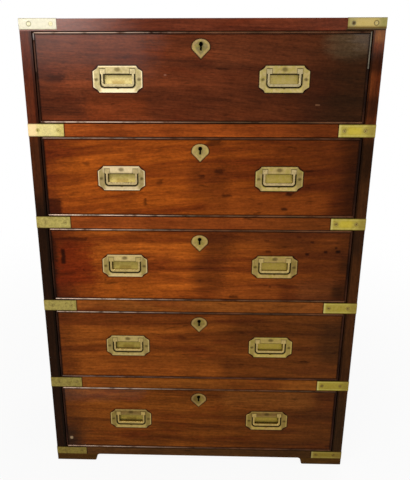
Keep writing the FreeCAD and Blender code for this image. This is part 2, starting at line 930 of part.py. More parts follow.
def build_drawer(levels, handle):
    """The shapes of one drawer by name."""
    side_high_z = levels.side_high
    left_handle = Vector(-handle_offset, face_y, levels.handle)
    right_handle = Vector(handle_offset, face_y, levels.handle)

    escutcheon_place = Vector(0, face_y, levels.escutcheon)
    blank = escutcheon_blank()
    shield_seat = moved(blank, escutcheon_place)
    rounded = blank.makeFillet(escutcheon_edge_radius, front_edges(blank, -escutcheon_proud))
    shield = moved(rounded, escutcheon_place)
    case_front_y = front_rear_y - lock_case_depth
    shield_front_y = face_y - escutcheon_proud - OVERCUT
    key_way = keyhole(shield_front_y, case_front_y + key_chamber_depth - shield_front_y, levels)
    lock = lock_blank(levels)

    bottom = block(
        -drawer_inner_half - drawer_bottom_groove,
        drawer_inner_half + drawer_bottom_groove,
        front_rear_y - drawer_bottom_groove,
        drawer_rear_y,
        drawer_bottom_lift,
        bottom_top_z,
    )

    front_tails = tails(
        drawer_inner_half, drawer_half, front_rear_y, front_rear_y - dovetail_length, front_low_z, side_high_z
    )
    tail_pair = front_tails + [mirrored(tail, X_AXIS) for tail in front_tails]
    cuts = tail_pair + [bottom, shield_seat, key_way, lock]
    for place in (left_handle, right_handle):
        cuts += [moved(cutter, place) for cutter in handle.pocket]
    front = front_board(levels).cut(cuts)

    back_high_z = side_high_z - drawer_back_drop
    back_front_y = drawer_rear_y - drawer_back_thickness
    back_tails = tails(
        drawer_inner_half, drawer_half, back_front_y, drawer_rear_y, bottom_top_z, back_high_z
    )
    back = block(-drawer_half, drawer_half, back_front_y, drawer_rear_y, bottom_top_z, back_high_z)
    back = back.cut(back_tails + [mirrored(tail, X_AXIS) for tail in back_tails])

    side = block(drawer_inner_half, drawer_half, front_rear_y, drawer_rear_y, 0, side_high_z)
    side = merged([side] + front_tails).cut([back, bottom])

    plates = []
    for place in (left_handle, right_handle):
        plates += [moved(piece, place) for piece in handle.fixed]
    return {
        "front": [front],
        "sides_and_back": both_hands(side) + [back],
        "bottom": [bottom],
        "cockbeads": cockbeads(levels),
        "handle_plates": plates,
        "bail_left": [moved(handle.swinging, left_handle)],
        "bail_right": [moved(handle.swinging, right_handle)],
        "lock_and_escutcheon": [
            lock.cut([bolt_block(bolt_slack, levels, levels.front_high + OVERCUT), key_way]),
            shield.cut(key_way),
        ],
        "lock_bolt": [bolt_block(0, levels, levels.bolt_top)],
    }


def main():
    os.makedirs("parts", exist_ok=True)
    build_carcass()
    handle = FlushHandle()
    for number, levels in enumerate(DRAWER_LEVELS, 1):
        floor_z = opening_floor(number)
        for name, shapes in build_drawer(levels, handle).items():
            save(f"drawer_{number}_{name}", [raised(shape, floor_z) for shape in shapes])


main()
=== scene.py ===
"""A campaign chest of five drawers: its woods, brasses, light and viewpoint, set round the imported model."""

from __future__ import annotations

import json
import logging
import math
from abc import ABC, abstractmethod
from collections.abc import Iterable
from dataclasses import dataclass
from enum import Enum
from functools import partial, reduce

import bpy
from mathutils import Matrix, Vector

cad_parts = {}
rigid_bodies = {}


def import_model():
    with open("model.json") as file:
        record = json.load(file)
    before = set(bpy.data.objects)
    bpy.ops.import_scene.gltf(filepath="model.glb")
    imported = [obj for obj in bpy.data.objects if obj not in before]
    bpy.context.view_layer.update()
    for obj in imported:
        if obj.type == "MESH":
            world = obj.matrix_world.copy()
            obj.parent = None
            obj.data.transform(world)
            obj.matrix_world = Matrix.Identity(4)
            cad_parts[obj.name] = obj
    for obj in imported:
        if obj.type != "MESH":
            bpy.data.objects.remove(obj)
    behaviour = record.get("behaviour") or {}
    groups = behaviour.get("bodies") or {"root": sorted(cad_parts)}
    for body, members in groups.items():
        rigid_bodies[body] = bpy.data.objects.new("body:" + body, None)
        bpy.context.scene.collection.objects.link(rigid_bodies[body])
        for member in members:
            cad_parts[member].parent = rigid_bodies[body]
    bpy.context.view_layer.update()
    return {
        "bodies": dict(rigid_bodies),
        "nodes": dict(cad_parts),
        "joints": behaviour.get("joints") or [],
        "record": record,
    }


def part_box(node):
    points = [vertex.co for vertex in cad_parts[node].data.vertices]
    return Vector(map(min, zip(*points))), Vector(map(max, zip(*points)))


LOG = logging.getLogger("campaign_chest")
DRAWERS = 5

Colour = tuple[float, float, float, float]
Pair = tuple[float, float]
Levels = tuple[Pair, ...]
WHITE = (1.0, 1.0, 1.0, 1.0)


def tint(code: str) -> Colour:
    """A hex code, as a screen shows it, as linear light.

    Args:
        code: six hex figures, such as "8c4119".

    Returns:
        Red, green, blue and an alpha of one.
    """
    shown = [int(code[start : start + 2], 16) / 255 for start in (0, 2, 4)]
    linear = [((c + 0.055) / 1.055) ** 2.4 if c > 0.04045 else c / 12.92 for c in shown]
    return (linear[0], linear[1], linear[2], 1.0)


# ---------------------------------------------------------------- shader building
class Signal:
    """A socket's value, taking Python's operators; each operator adds one Math node."""

    def __init__(self, graph: Graph, socket: bpy.types.NodeSocket) -> None:
        """Keeps the graph and the socket."""
        self.graph = graph
        self.socket = socket

    def _join(self, operation: str, first: Signal | float, second: Signal | float) -> Signal:
        """The result of one Math node on two values."""
        made = self.graph.node("ShaderNodeMath", {"operation": operation}, {0: first, 1: second})
        return Signal(self.graph, made.outputs[0])

    def __add__(self, other: Signal | float) -> Signal:
        """self + other."""
        return self._join("ADD", self, other)

    def __sub__(self, other: Signal | float) -> Signal:
        """self - other."""
        return self._join("SUBTRACT", self, other)

    def __rsub__(self, other: float) -> Signal:
        """other - self."""
        return self._join("SUBTRACT", other, self)

    def __mul__(self, other: Signal | float) -> Signal:
        """self * other."""
        return self._join("MULTIPLY", self, other)

    def __abs__(self) -> Signal:
        """The value without its sign."""
        return self._join("ABSOLUTE", self, 0.0)

    __radd__ = __add__
    __rmul__ = __mul__

    def at_least(self, other: Signal | float) -> Signal:
        """The larger of two values."""
        return self._join("MAXIMUM", self, other)

    def at_most(self, other: Signal | float) -> Signal:
        """The smaller of two values."""
        return self._join("MINIMUM", self, other)

    def power(self, exponent: float) -> Signal:
        """The value raised to an exponent."""
        return self._join("POWER", self, exponent)


Point = tuple[Signal, Signal, Signal]


class Graph:
    """The nodes of a material or a world, with the moves that the finishes share."""

    def __init__(self, owner: bpy.types.Material | bpy.types.World) -> None:
        """Empties the owner's nodes.

        Args:
            owner: the material or the world that they belong to.
        """
        self.owner = owner
        owner.use_nodes = True
        self.tree = owner.node_tree
        self.tree.nodes.clear()

    def node(self, kind: str, settings: dict, inputs: dict) -> bpy.types.Node:
        """Adds one node.

        Args:
            kind: the node's type.
            settings: its properties, set before anything is joined.
            inputs: a value, Signal or socket for each input, by name or number.

        Returns:
            The node.
        """
        made = self.tree.nodes.new(kind)
        for key, value in settings.items():
            setattr(made, key, value)
        for key, value in inputs.items():
            source = value.socket if isinstance(value, Signal) else value
            if isinstance(source, bpy.types.NodeSocket):
                self.tree.links.new(made.inputs[key], source)
            else:
                made.inputs[key].default_value = source
        return made

    def place(self) -> Point:
        """The surface point's own x, y and z, in metres.

        Returns:
            One value for each axis.
        """
        source = self.node("ShaderNodeTexCoord", {}, {})
        parts = self.node("ShaderNodeSeparateXYZ", {}, {0: source.outputs["Object"]})
        return tuple(Signal(self, parts.outputs[axis]) for axis in range(3))

    def vector(self, x: Signal | float, y: Signal | float, z: Signal | float) -> Signal:
        """Three values as one vector."""
        return Signal(self, self.node("ShaderNodeCombineXYZ", {}, {0: x, 1: y, 2: z}).outputs[0])

    def noise(self, at: Signal, detail: float = 3.0, rough: float = 0.55, swirl: float = 0.0) -> Signal:
        """Smooth noise about one half.

        Args:
            at: where it is read, already scaled.
            detail: how many finer layers it has.
            rough: how strong the finer layers are.
            swirl: how far it is distorted.

        Returns:
            The noise as a value.
        """
        inputs = {"Vector": at, "Scale": 1.0, "Detail": detail, "Roughness": rough, "Distortion": swirl}
        return Signal(self, self.node("ShaderNodeTexNoise", {}, inputs).outputs["Fac"])

    def rise(self, value: Signal, low: float, high: float) -> Signal:
        """A soft step: nothing below low, one above high.

        Args:
            value: what is measured.
            low: where the step begins.
            high: where it ends.

        Returns:
            The step as a value.
        """
        settings = {"interpolation_type": "SMOOTHSTEP"}
        inputs = {"Value": value, "From Min": low, "From Max": high}
        return Signal(self, self.node("ShaderNodeMapRange", settings, inputs).outputs["Result"])

    def near(self, away: Signal, width: float) -> Signal:
        """One up to no distance, fading out softly over a width."""
        return 1 - self.rise(away, 0.0, width)

    def outline(self, past: Signal, width: float, inside: bool) -> Signal:
        """A line of a width within an outline or round it, from the distance past the outline."""
        return self.rise(past, -width, -width / 2) if inside else self.near(past, width)

    def seen(self) -> Signal:
        """One for the eye and for mirrors and glass, nothing where light only bounces.

        Returns:
            One or nothing as a value.
        """
        path = self.node("ShaderNodeLightPath", {}, {})
        rays = ("Is Camera Ray", "Is Glossy Ray", "Is Transmission Ray")
        return reduce(Signal.at_least, (Signal(self, path.outputs[ray]) for ray in rays))

    def blend(self, share: Signal | float, first: Signal | Colour, second: Signal | Colour) -> Signal:
        """Two colours mixed by a share of the second."""
        settings = {"data_type": "RGBA", "clamp_factor": True}
        return Signal(self, self.node("ShaderNodeMix", settings, {0: share, 6: first, 7: second}).outputs[2])

    def dim(self, colour: Signal, by: Signal) -> Signal:
        """A colour multiplied by a value."""
        made = self.node("ShaderNodeVectorMath", {"operation": "SCALE"}, {0: colour, 3: by})
        return Signal(self, made.outputs[0])

    def stained(self, colour: Signal, stain: Stain, point: Point, worn: Signal | None = None) -> Signal:
        """A colour under one stain, which takes only where the surface is worn if that is given.

        Args:
            colour: the colour before.
            stain: what is laid on it.
            point: the surface point.
            worn: how worn the surface is at the point.

        Returns:
            The colour after.
        """
        cover = stain.where.mask(self, point)
        if worn is not None:
            cover = cover * worn
        return self.blend(cover * stain.strength, colour, tint(stain.colour))

    def bump(self, height: Signal, depth: float) -> bpy.types.NodeSocket:
        """A normal for a height from nothing to one, over a depth in metres."""
        inputs = {"Strength": 1.0, "Distance": depth, "Height": height}
        return self.node("ShaderNodeBump", {}, inputs).outputs["Normal"]

    def close(self, surface: dict) -> bpy.types.Material:
        """Ends the material with a principled surface.

        Args:
            surface: the values of the surface's inputs.

        Returns:
            The finished material.
        """
        skin = self.node("ShaderNodeBsdfPrincipled", {}, surface)
        self.node("ShaderNodeOutputMaterial", {}, {"Surface": skin.outputs[0]})
        return self.owner


# ---------------------------------------------------------------- where a mark lies
def length(across: Signal, up: Signal) -> Signal:
    """The distance that two steps at right angles make."""
    return (across * across + up * up).power(0.5)


def least(values: Iterable[Signal]) -> Signal:
    """The smallest of several values."""
    return reduce(Signal.at_most, values)


class Mask(ABC):
    """A share from nothing to one that depends on where a surface point is."""

    @abstractmethod
    def mask(self, graph: Graph, point: Point) -> Signal:
        """The share at a point.

        Args:
            graph: the material that the nodes go into.
            point: the surface point.

        Returns:
            One where the mark is full and nothing outside it.
        """

    def __and__(self, other: Mask) -> Mask:
        """The mark where both lie."""
        return Both(self, other)


@dataclass(frozen=True)
class Both(Mask):
    """Two marks where they overlap."""

    first: Mask
    second: Mask

    def mask(self, graph: Graph, point: Point) -> Signal:
        """The product of both masks."""
        return self.first.mask(graph, point) * self.second.mask(graph, point)


@dataclass(frozen=True)
class Fade(Mask):
    """A mark that grows along one axis (0 to 2 for x to z) from a start to where it is full, in metres."""

    axis: int
    start: float
    full: float

    def mask(self, graph: Graph, point: Point) -> Signal:
        """A soft step along the axis.

        Args:
            graph: the material that the nodes go into.
            point: the surface point.

        Returns:
            The share at the point, from nothing to one.
        """
        low, high = sorted((self.start, self.full))
        step = graph.rise(point[self.axis], low, high)
        return step if self.full > self.start else 1 - step


@dataclass(frozen=True)
class Patch(Mask):
    """A soft-edged rectangle on the front: its centre, its half sizes and how far it fades, in metres."""

    x: float
    z: float
    half_wide: float
    half_high: float
    soft: float

    def mask(self, graph: Graph, point: Point) -> Signal:
        """One inside the rectangle, less with the distance from it.

        Args:
            graph: the material that the nodes go into.
            point: the surface point.

        Returns:
            The share at the point, from nothing to one.
        """
        past_x = (abs(point[0] - self.x) - self.half_wide).at_least(0.0)
        past_z = (abs(point[2] - self.z) - self.half_high).at_least(0.0)
        return graph.near(length(past_x, past_z), self.soft)


@dataclass(frozen=True)
class OnHandles(Mask):
    """A mark that lies alike on both of a drawer's handles.

    Attributes:
        offset: how far each handle's middle lies from the chest's middle.
        front: the plane of the handles' faces.
        z: the height of the handles' middle.
        shape: the mark about a handle's middle, where x is the distance to either side.
    """

    offset: float
    front: float
    z: float
    shape: Mask

    def mask(self, graph: Graph, point: Point) -> Signal:
        """The shape's mask at the point's place on its handle."""
        x, y, z = point
        return self.shape.mask(graph, (abs(abs(x) - self.offset), y - self.front, z - self.z))


@dataclass(frozen=True)
class PlateRim(Mask):
    """The line round a handle plate, at the largest distance past its ends, its edges and its cut corners.

    Attributes:
        half_wide, half_high: the plate's half sizes.
        inside: whether the line is the plate's own rim, not the dirt and painted shade round it.
        soft: the line's width.
        corner: how far the line along a cut corner lies from the plate's middle.
        slant: which way a cut corner faces, to the side and up.
    """

    half_wide: float
    half_high: float
    inside: bool = False
    soft: float = 0.0034
    corner: float = 0.0478
    slant: Pair = (0.662, 0.749)

    def mask(self, graph: Graph, point: Point) -> Signal:
        """One at the plate's outline, less with the distance from it.

        Args:
            graph: the material that the nodes go into.
            point: the surface point.

        Returns:
            The share at the point, from nothing to one.
        """
        x, z = point[0], abs(point[2])
        cut = x * self.slant[0] + z * self.slant[1] - self.corner
        past = (x - self.half_wide).at_least(z - self.half_high).at_least(cut)
        return graph.outline(past, self.soft, self.inside)


@dataclass(frozen=True)
class PanRim(Mask):
    """The line round a handle's pan, where dirt and painted shade darken the gap round the bail.

    Attributes:
        half_wide, low, high: the pan's half width, foot and top.
        corner: the radius of its lower corners.
        soft: the line's width.
        lip: where the line begins at the pan's edge, and where it is full.
    """

    half_wide: float
    low: float
    high: float
    corner: float = 0.009
    soft: float = 0.0026
    lip: Pair = (-0.0012, -0.0004)

    def mask(self, graph: Graph, point: Point) -> Signal:
        """One at the pan's outline, less with the distance from it, nothing within the pan.

        Args:
            graph: the material that the nodes go into.
            point: the surface point.

        Returns:
            The share at the point, from nothing to one.
        """
        side = (point[0] - (self.half_wide - self.corner)).at_least(0.0)
        under = ((self.low + self.corner) - point[2]).at_least(0.0)
        past = (length(side, under) - self.corner).at_least(point[2] - self.high)
        return graph.near(past, self.soft) * graph.rise(past, *self.lip)


@dataclass(frozen=True)
class PanWalls(Mask):
    """The strip of a pan along its walls.

    Attributes:
        half_wide, low, high: the pan's half width, foot and top.
        band: how far in from the walls the strip runs, and where it has gone.
        lid: how much narrower it is under the pan's top.
    """

    half_wide: float
    low: float
    high: float
    band: Pair
    lid: float = 2.6

    def mask(self, graph: Graph, point: Point) -> Signal:
        """One at the walls, less with the distance from them."""
        inside = (self.half_wide - point[0]).at_most(point[2] - self.low)
        return 1 - graph.rise(inside.at_most((self.high - point[2]) * self.lid), *self.band)


@dataclass(frozen=True)
class Slots(Mask):
    """The painted shade round the slots for the bails' knuckles: the slots' inner and outer sides and top."""

    inner: float
    outer: float
    high: float
    soft: float = 0.0019

    def mask(self, graph: Graph, point: Point) -> Signal:
        """One at the slots' edges, less with the distance from them."""
        x, _, z = point
        return graph.near((x - self.outer).at_least(self.inner - x).at_least(z - self.high), self.soft)


@dataclass(frozen=True)
class Disc(Mask):
    """A round mark, a little wider than high: its middle, its radius and how far it fades."""

    x: float
    z: float
    radius: float = 0.0012
    soft: float = 0.0034
    squash: float = 0.7

    def mask(self, graph: Graph, point: Point) -> Signal:
        """One within the radius, less with the distance from it."""
        away = length((point[0] - self.x) * self.squash, point[2] - self.z)
        return 1 - graph.rise(away, self.radius, self.radius + self.soft)


@dataclass(frozen=True)
class ShieldRim(Mask):
    """The line round an escutcheon: an ellipse above its middle, slopes of 45 degrees below.

    Attributes:
        z: the height of its widest part.
        half_wide, crown, drop: its half width and its reach above and below that height.
        inside: whether the line is the shield's own rim, not the dirt and painted shade round it.
        soft: the line's width.
    """

    z: float
    half_wide: float
    crown: float
    drop: float
    inside: bool = False
    soft: float = 0.003

    def mask(self, graph: Graph, point: Point) -> Signal:
        """One at the shield's outline, less with the distance from it.

        Args:
            graph: the material that the nodes go into.
            point: the surface point.

        Returns:
            The share at the point, from nothing to one.
        """
        x = abs(point[0])
        z = point[2] - self.z
        above = z.at_least(0.0) * (self.half_wide / self.crown)
        slope = (x - z - self.drop) * math.sqrt(0.5)
        past = (length(x, above) - self.half_wide).at_least(slope)
        return graph.outline(past, self.soft, self.inside)


@dataclass(frozen=True)
class Keyway(Mask):
    """The inside of a keyhole, painted dark as shade: near the middle, from just behind the face to the
    chamber's end.

    Attributes:
        face: the plane that it is cut into.
        lip: how far behind the face the dark begins, and where it is full.
        depth: how deep it goes.
        reach: how far it spreads to either side.
    """

    face: float
    lip: Pair = (0.0002, 0.0009)
    depth: float = 0.0215
    reach: float = 0.006

    def mask(self, graph: Graph, point: Point) -> Signal:
        """One within the hole.

        Args:
            graph: the material that the nodes go into.
            point: the surface point.

        Returns:
            The share at the point, from nothing to one.
        """
        behind = point[1] - self.face
        ends = 1 - graph.rise(behind, self.depth, self.depth + 0.0008)
        beside = 1 - graph.rise(abs(point[0]), self.reach, self.reach + 0.001)
        return graph.rise(behind, *self.lip) * ends * beside


@dataclass(frozen=True)
class BoardRim(Mask):
    """The edge of a drawer front's field, darkened against the bead by dirt and painted shade.

    Attributes:
        half_wide, low, high: the field's half width, foot and top.
        soft: how far the dirt and painted shade reach in.
    """

    half_wide: float
    low: float
    high: float
    soft: float

    def mask(self, graph: Graph, point: Point) -> Signal:
        """One at the field's edge, less with the distance inwards."""
        inside = (self.half_wide - abs(point[0])).at_most(self.high - point[2])
        return graph.near(inside.at_most(point[2] - self.low), self.soft)


@dataclass(frozen=True)
class StrapEdge(Mask):
    """A line along the long edges of the brass bindings.

    Attributes:
        levels: each binding's middle height and half height.
        inset: how far in from the edges the line lies.
        line: how far from its middle the line begins to fade, and where it has gone.
    """

    levels: Levels
    inset: float = 0.0
    line: Pair = (0.0002, 0.0022)

    def mask(self, graph: Graph, point: Point) -> Signal:
        """One on the line, less with the distance from it."""
        gaps = (abs(abs(abs(point[2] - middle) - half) - self.inset) for middle, half in self.levels)
        return 1 - graph.rise(least(gaps), *self.line)


@dataclass(frozen=True)
class ScrewRing(Mask):
    """A ring or a dot on each screw of the bindings.

    Attributes:
        levels: each binding's middle height and half height.
        half_wide, half_deep: the half sizes of the chest over its brasses.
        screws: how far the screws lie from the corner.
        ring, line: the ring's radius and the width of its line; a dot has no radius.
    """

    levels: Levels
    half_wide: float
    half_deep: float
    screws: tuple[float, ...]
    ring: float = 0.0038
    line: float = 0.0016

    def mask(self, graph: Graph, point: Point) -> Signal:
        """One on the ring, less with the distance from it.

        Args:
            graph: the material that the nodes go into.
            point: the surface point.

        Returns:
            The share at the point, from nothing to one.
        """
        along = (self.half_wide - abs(point[0])).at_least(self.half_deep - abs(point[1]))
        away_x = least(abs(along - distance) for distance in self.screws)
        away_z = least(abs(point[2] - middle) for middle, _ in self.levels)
        return graph.near(abs(length(away_x, away_z) - self.ring), self.line)


@dataclass(frozen=True)
class Stain:
    """A colour that covers a surface as strongly as a mask says.

    Attributes:
        where: its mask.
        colour: a hex code.
        strength: its share where the mask is full.
        torn: how far its outline wanders, in metres.
    """

    where: Mask
    colour: str
    strength: float = 1.0
    torn: float = 0.0


def spot(x: float, z: float, wide: float, high: float, soft: float, *kind: str | float) -> Stain:
    """A soft-edged rectangular stain, from a Patch's values and then a Stain's other values."""
    return Stain(Patch(x, z, wide, high, soft), *kind)


def wash(start: float, full: float, *kind: str | float) -> Stain:
    """A stain that grows sideways from a start to where it is full, and then as for spot."""
    return Stain(Fade(0, start, full), *kind)


# ---------------------------------------------------------------- finishes
@dataclass(frozen=True)
class Layer:
    """One noise of a finish.

    Attributes:
        pace: how fast it changes along each of the three axes that it is read on.
        detail, rough, swirl: its character, as for Graph.noise.
        way: one or minus one, for the way that a seed moves it.
    """

    pace: tuple[float, float, float]
    detail: float
    rough: float = 0.55
    swirl: float = 0.0
    way: int = 1

    def read(self, graph: Graph, axes: Point, shift: float = 0.0) -> Signal:
        """The noise at a point, moved along the first axis by a shift.

        Args:
            graph: the material that the nodes go into.
            axes: the point's values along the layer's three axes.
            shift: how far the noise is moved.

        Returns:
            The noise as a value.
        """
        first, second, third = (axis * pace for axis, pace in zip(axes, self.pace))
        at = graph.vector(first + shift * self.way, second, third)
        return graph.noise(at, self.detail, self.rough, self.swirl)


class Grain(Enum):
    """The way a board's fibres run, as the order along, over and through."""

    ACROSS = (0, 2, 1)
    DEEP = (1, 2, 0)
    UPRIGHT = (2, 0, 1)


@dataclass(frozen=True)
class Timber:
    """A polished or bare board.

    Attributes:
        name: the material's name.
        grain: the way of its fibres.
        seed: moves the pattern, so that no two boards match.
        light, deep: the colours of its pale and dark figure.
        red: the colour that it blushes to in clouds.
        slope: how much the figure climbs along the board.
        stains: what use and shade have left on it, laid on in order.
        gleams: where its polish still mirrors, and how strongly.
        rough: how blurred its reflections are.
        flecks: how strong its dark flecks are.

    The constants are its noises, how far four of them swing the tone, how far a seed moves them, the levels
    between which they take, and the depth of its pores in metres.
    """

    SWAY = Layer((1.6, 3.0, 3.0), 2.0)
    FIGURE = Layer((2.0, 36.0, 30.0), 5.0, 0.62, 0.4)
    RIBBON = Layer((20.0, 170.0, 150.0), 3.0, 0.6)
    STREAK = Layer((9.0, 420.0, 400.0), 2.0, 0.6, way=-1)
    PORES = Layer((75.0, 1500.0, 1300.0), 1.0, 0.5)
    FLECK = Layer((24.0, 85.0, 70.0), 2.0, 0.5, way=-1)
    CLOUD = Layer((4.0, 9.0, 9.0), 3.0, 0.5, way=-1)
    CURTAIN = Layer((17.0, 2.5, 2.5), 2.0, 0.5)
    BLUSH = Layer((7.0, 26.0, 26.0), 3.0, 0.6, 0.5)
    MOTTLE = Layer((150.0, 230.0, 230.0), 2.0, 0.5)
    SWINGS = (0.76, 0.44, 0.52, 0.76)
    STRIDE = 3.7
    PALE = (0.28, 0.70)
    BLUSHED = (0.46, 0.70)
    DARK_PORES = (0.58, 0.74)
    OPEN_PORES = (0.58, 0.80)
    DARK_FLECKS = (0.64, 0.80)
    RELIEF = 0.00012

    name: str
    grain: Grain
    seed: float
    light: str
    deep: str
    red: str = "5c200a"
    slope: float = 0.0
    stains: tuple[Stain, ...] = ()
    gleams: tuple[tuple[Mask, float], ...] = ()
    rough: float = 0.42
    flecks: float = 0.5

    def make(self) -> bpy.types.Material:
        """Builds the material: ribbon figure, fine streaks, open pores, stains and worn polish.

        Returns:
            The material.
        """
        graph = Graph(bpy.data.materials.new(self.name))
        point = graph.place()
        along, over, through = axes = tuple(point[axis] for axis in self.grain.value)
        shift = self.seed * self.STRIDE
        cloud, curtain, blush, mottle = (
            layer.read(graph, axes, shift) for layer in (self.CLOUD, self.CURTAIN, self.BLUSH, self.MOTTLE)
        )
        line = over - along * self.slope + self.SWAY.read(graph, axes, shift) * 0.05
        figure, ribbon, streak, pores, fleck = (
            layer.read(graph, (along, line, through), shift)
            for layer in (self.FIGURE, self.RIBBON, self.STREAK, self.PORES, self.FLECK)
        )

        wander = (cloud - 0.5) + (fleck - 0.5) * 0.6 + (mottle - 0.5) * 0.3
        colour = graph.blend(graph.rise(figure, *self.PALE), tint(self.deep), tint(self.light))
        colour = graph.blend(graph.rise(blush, *self.BLUSHED) * 0.45, colour, tint(self.red))
        for stain in self.stains:
            drift = wander * stain.torn
            at = (point[0] + drift, point[1], point[2] + drift * 0.5) if stain.torn else point
            colour = graph.stained(colour, stain, at)

        tone = 0.5 + ribbon * 1.0
        for layer, swing in zip((streak, cloud, curtain, mottle), self.SWINGS):
            tone = tone * (1 - swing / 2 + layer * swing)
        tone = tone * (1 - graph.rise(pores, *self.DARK_PORES) * 0.5)
        tone = tone * (1 - graph.rise(fleck, *self.DARK_FLECKS) * self.flecks)

        coat = along * 0.0
        at = (point[0] + wander * 0.10, point[1], point[2] + wander * 0.04)
        for where, strength in self.gleams:
            coat = coat.at_least(where.mask(graph, at) * strength)
        height = (1 - graph.rise(pores, *self.OPEN_PORES)) * 0.7 + streak * 0.3
        return graph.close(
            {
                "Base Color": graph.dim(colour, tone),
                "Roughness": self.rough + (cloud - 0.5) * 0.2,
                "Specular IOR Level": 0.03,
                "Coat Weight": coat * (0.7 + cloud * 0.6),
                "Coat Roughness": 0.24,
                "Normal": graph.bump(height, self.RELIEF),
            }
        )


@dataclass(frozen=True)
class Bead:
    """The half-round moulding's finish: dark, and more polished than the boards.

    Attributes:
        name: the material's name.
        light, deep: the colours of its figure.
        seed: moves the pattern.
        half_wide: half the drawer's width; the upright beads lie at it and shine less.
        stains: painted highlights, laid on only where the polish is rubbed.

    The constants are its noises, the levels between which they take, where along the drawer its polish
    dulls, and the depth of its dents in metres.
    """

    FIGURE = Layer((14.0, 300.0, 14.0), 3.0, 0.6)
    RUBBED = Layer((40.0, 40.0, 40.0), 3.0, 0.6, way=-1)
    PALE = (0.35, 0.65)
    WORN = (0.25, 0.55)
    POLISHED = (0.30, 0.60)
    DULLED = (-0.05, 0.15)
    RELIEF = 0.00025

    name: str
    light: str
    deep: str
    seed: float
    half_wide: float
    stains: tuple[Stain, ...]

    def make(self) -> bpy.types.Material:
        """Builds the material: fine figure under a polish that is rubbed through in places, with painted
        highlights.

        Returns:
            The material.
        """
        graph = Graph(bpy.data.materials.new(self.name))
        point = graph.place()
        figure = self.FIGURE.read(graph, point, self.seed)
        rubbed = self.RUBBED.read(graph, point, self.seed)
        upright = graph.rise(abs(point[0]), self.half_wide - 0.0055, self.half_wide - 0.0045)
        colour = graph.blend(graph.rise(figure, *self.PALE), tint(self.deep), tint(self.light))
        colour = graph.dim(colour, (0.5 + rubbed * 1.0) * (1 - upright * 0.6))
        worn = graph.rise(rubbed, *self.WORN)
        # painted highlights along the beads, taking where the rubbed mask is high
        for stain in self.stains:
            colour = graph.stained(colour, stain, point, worn)
        fresh = 1 - graph.rise(point[0], *self.DULLED) * 0.5
        return graph.close(
            {
                "Base Color": colour,
                "Roughness": 0.3 + rubbed * 0.16,
                "Specular IOR Level": 0.04,
                "Coat Weight": graph.rise(rubbed, *self.POLISHED) * (0.16 - upright * 0.14) * fresh,
                "Coat Roughness": 0.12,
                "Normal": graph.bump(rubbed, self.RELIEF),
            }
        )


@dataclass(frozen=True)
class Metal:
    """A metal finish.

    Attributes:
        name: the material's name.
        high, low: its colour at the top and at the foot of the chest; where they differ, the step is painted
            light, brighter higher up where more light falls.
        tarnish: the colour of its blotches.
        spread: how much of it is tarnished.
        rough: how blurred its reflections are.
        stains: dirt on it, laid on in order.
        uneven: how strong its mottling is.
        green: how strong its greenish patches are.
        hammer: the depth of its dents, in metres.
        top: the height at which its colour is the high one, in metres.

    The constants are its noises, the colour of its greenish patches, the levels between which these and the
    mottling take, and where along the chest the patches grow stronger.
    """

    BLOTCH = Layer((60.0, 60.0, 60.0), 4.0, 0.6, 0.6)
    MOTTLE = Layer((170.0, 170.0, 170.0), 3.0, 0.6)
    SPECK = Layer((520.0, 520.0, 520.0), 2.0, 0.6)
    PATINA = "8e8a28"
    GREENED = (0.42, 0.62)
    GREENER = (-0.2, 0.1)
    DAPPLED = (0.30, 0.70)

    name: str
    high: str
    low: str
    tarnish: str
    spread: float = 0.4
    rough: float = 0.36
    stains: tuple[Stain, ...] = ()
    uneven: float = 0.3
    green: float = 0.0
    hammer: float = 0.00012
    top: float = 1.1

    def make(self) -> bpy.types.Material:
        """Builds the material: blotches of tarnish, greenish patches, dents, scratches and dirt.

        Returns:
            The material.
        """
        graph = Graph(bpy.data.materials.new(self.name))
        x, y, z = point = graph.place()
        layers = (self.BLOTCH, self.MOTTLE, self.SPECK)
        blotch, mottle, speck = (layer.read(graph, point) for layer in layers)
        scratch = graph.noise(graph.vector(x * 90.0 + z * 60.0, y * 700.0, z * 1500.0 - x * 500.0), 2.0, 0.5)
        patina = graph.noise(graph.vector(x * 110.0, y * 110.0, z * 110.0 + 3.0), 2.0, 0.5)
        worn = graph.rise(blotch, 0.66 - self.spread * 0.4, 0.90 - self.spread * 0.3)
        # painted light: the colour runs from the low one at the floor to the high one at the top
        colour = graph.blend(z * (1 / self.top), tint(self.low), tint(self.high))
        colour = graph.blend(worn * 0.8, colour, tint(self.tarnish))
        share = graph.rise(patina, *self.GREENED) * (0.4 + graph.rise(x, *self.GREENER) * 0.6)
        colour = graph.blend(share * self.green, colour, tint(self.PATINA))
        dapple = graph.rise(mottle, *self.DAPPLED) * self.uneven
        colour = graph.dim(colour, (1 - self.uneven / 2 + dapple) * (0.86 + speck * 0.28))
        for stain in self.stains:
            colour = graph.stained(colour, stain, point)
        return graph.close(
            {
                "Base Color": colour,
                "Metallic": 1.0,
                "Roughness": self.rough + worn * 0.12 + (scratch - 0.5) * 0.14,
                "Normal": graph.bump(mottle * 0.6 + scratch * 0.2 + speck * 0.2, self.hammer),
            }
        )


Finish = Timber | Bead | Metal


# ---------------------------------------------------------------- the chest
FRONT_EDGE = Fade(1, -0.221, -0.227)
BEHIND_EDGE = Fade(1, -0.227, -0.221)
LEFT_BRASSES = Fade(0, -0.30, -0.33)
RIGHT_HALF = Fade(0, 0.0, 0.1)


class Dresser:
    """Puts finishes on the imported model's pieces."""

    def __init__(self, nodes: dict[str, bpy.types.Object]) -> None:
        """Keeps the pieces by name."""
        self.nodes = nodes

    def coat(self, finish: Finish, *names: str) -> None:
        """Gives one finish to the named pieces.

        Args:
            finish: what they are made of.
            names: the pieces.
        """
        material = finish.make()
        for name in names:
            slots = self.nodes[name].data.materials
            slots.clear()
            slots.append(material)
            LOG.info("%s: %s", name, finish.name)


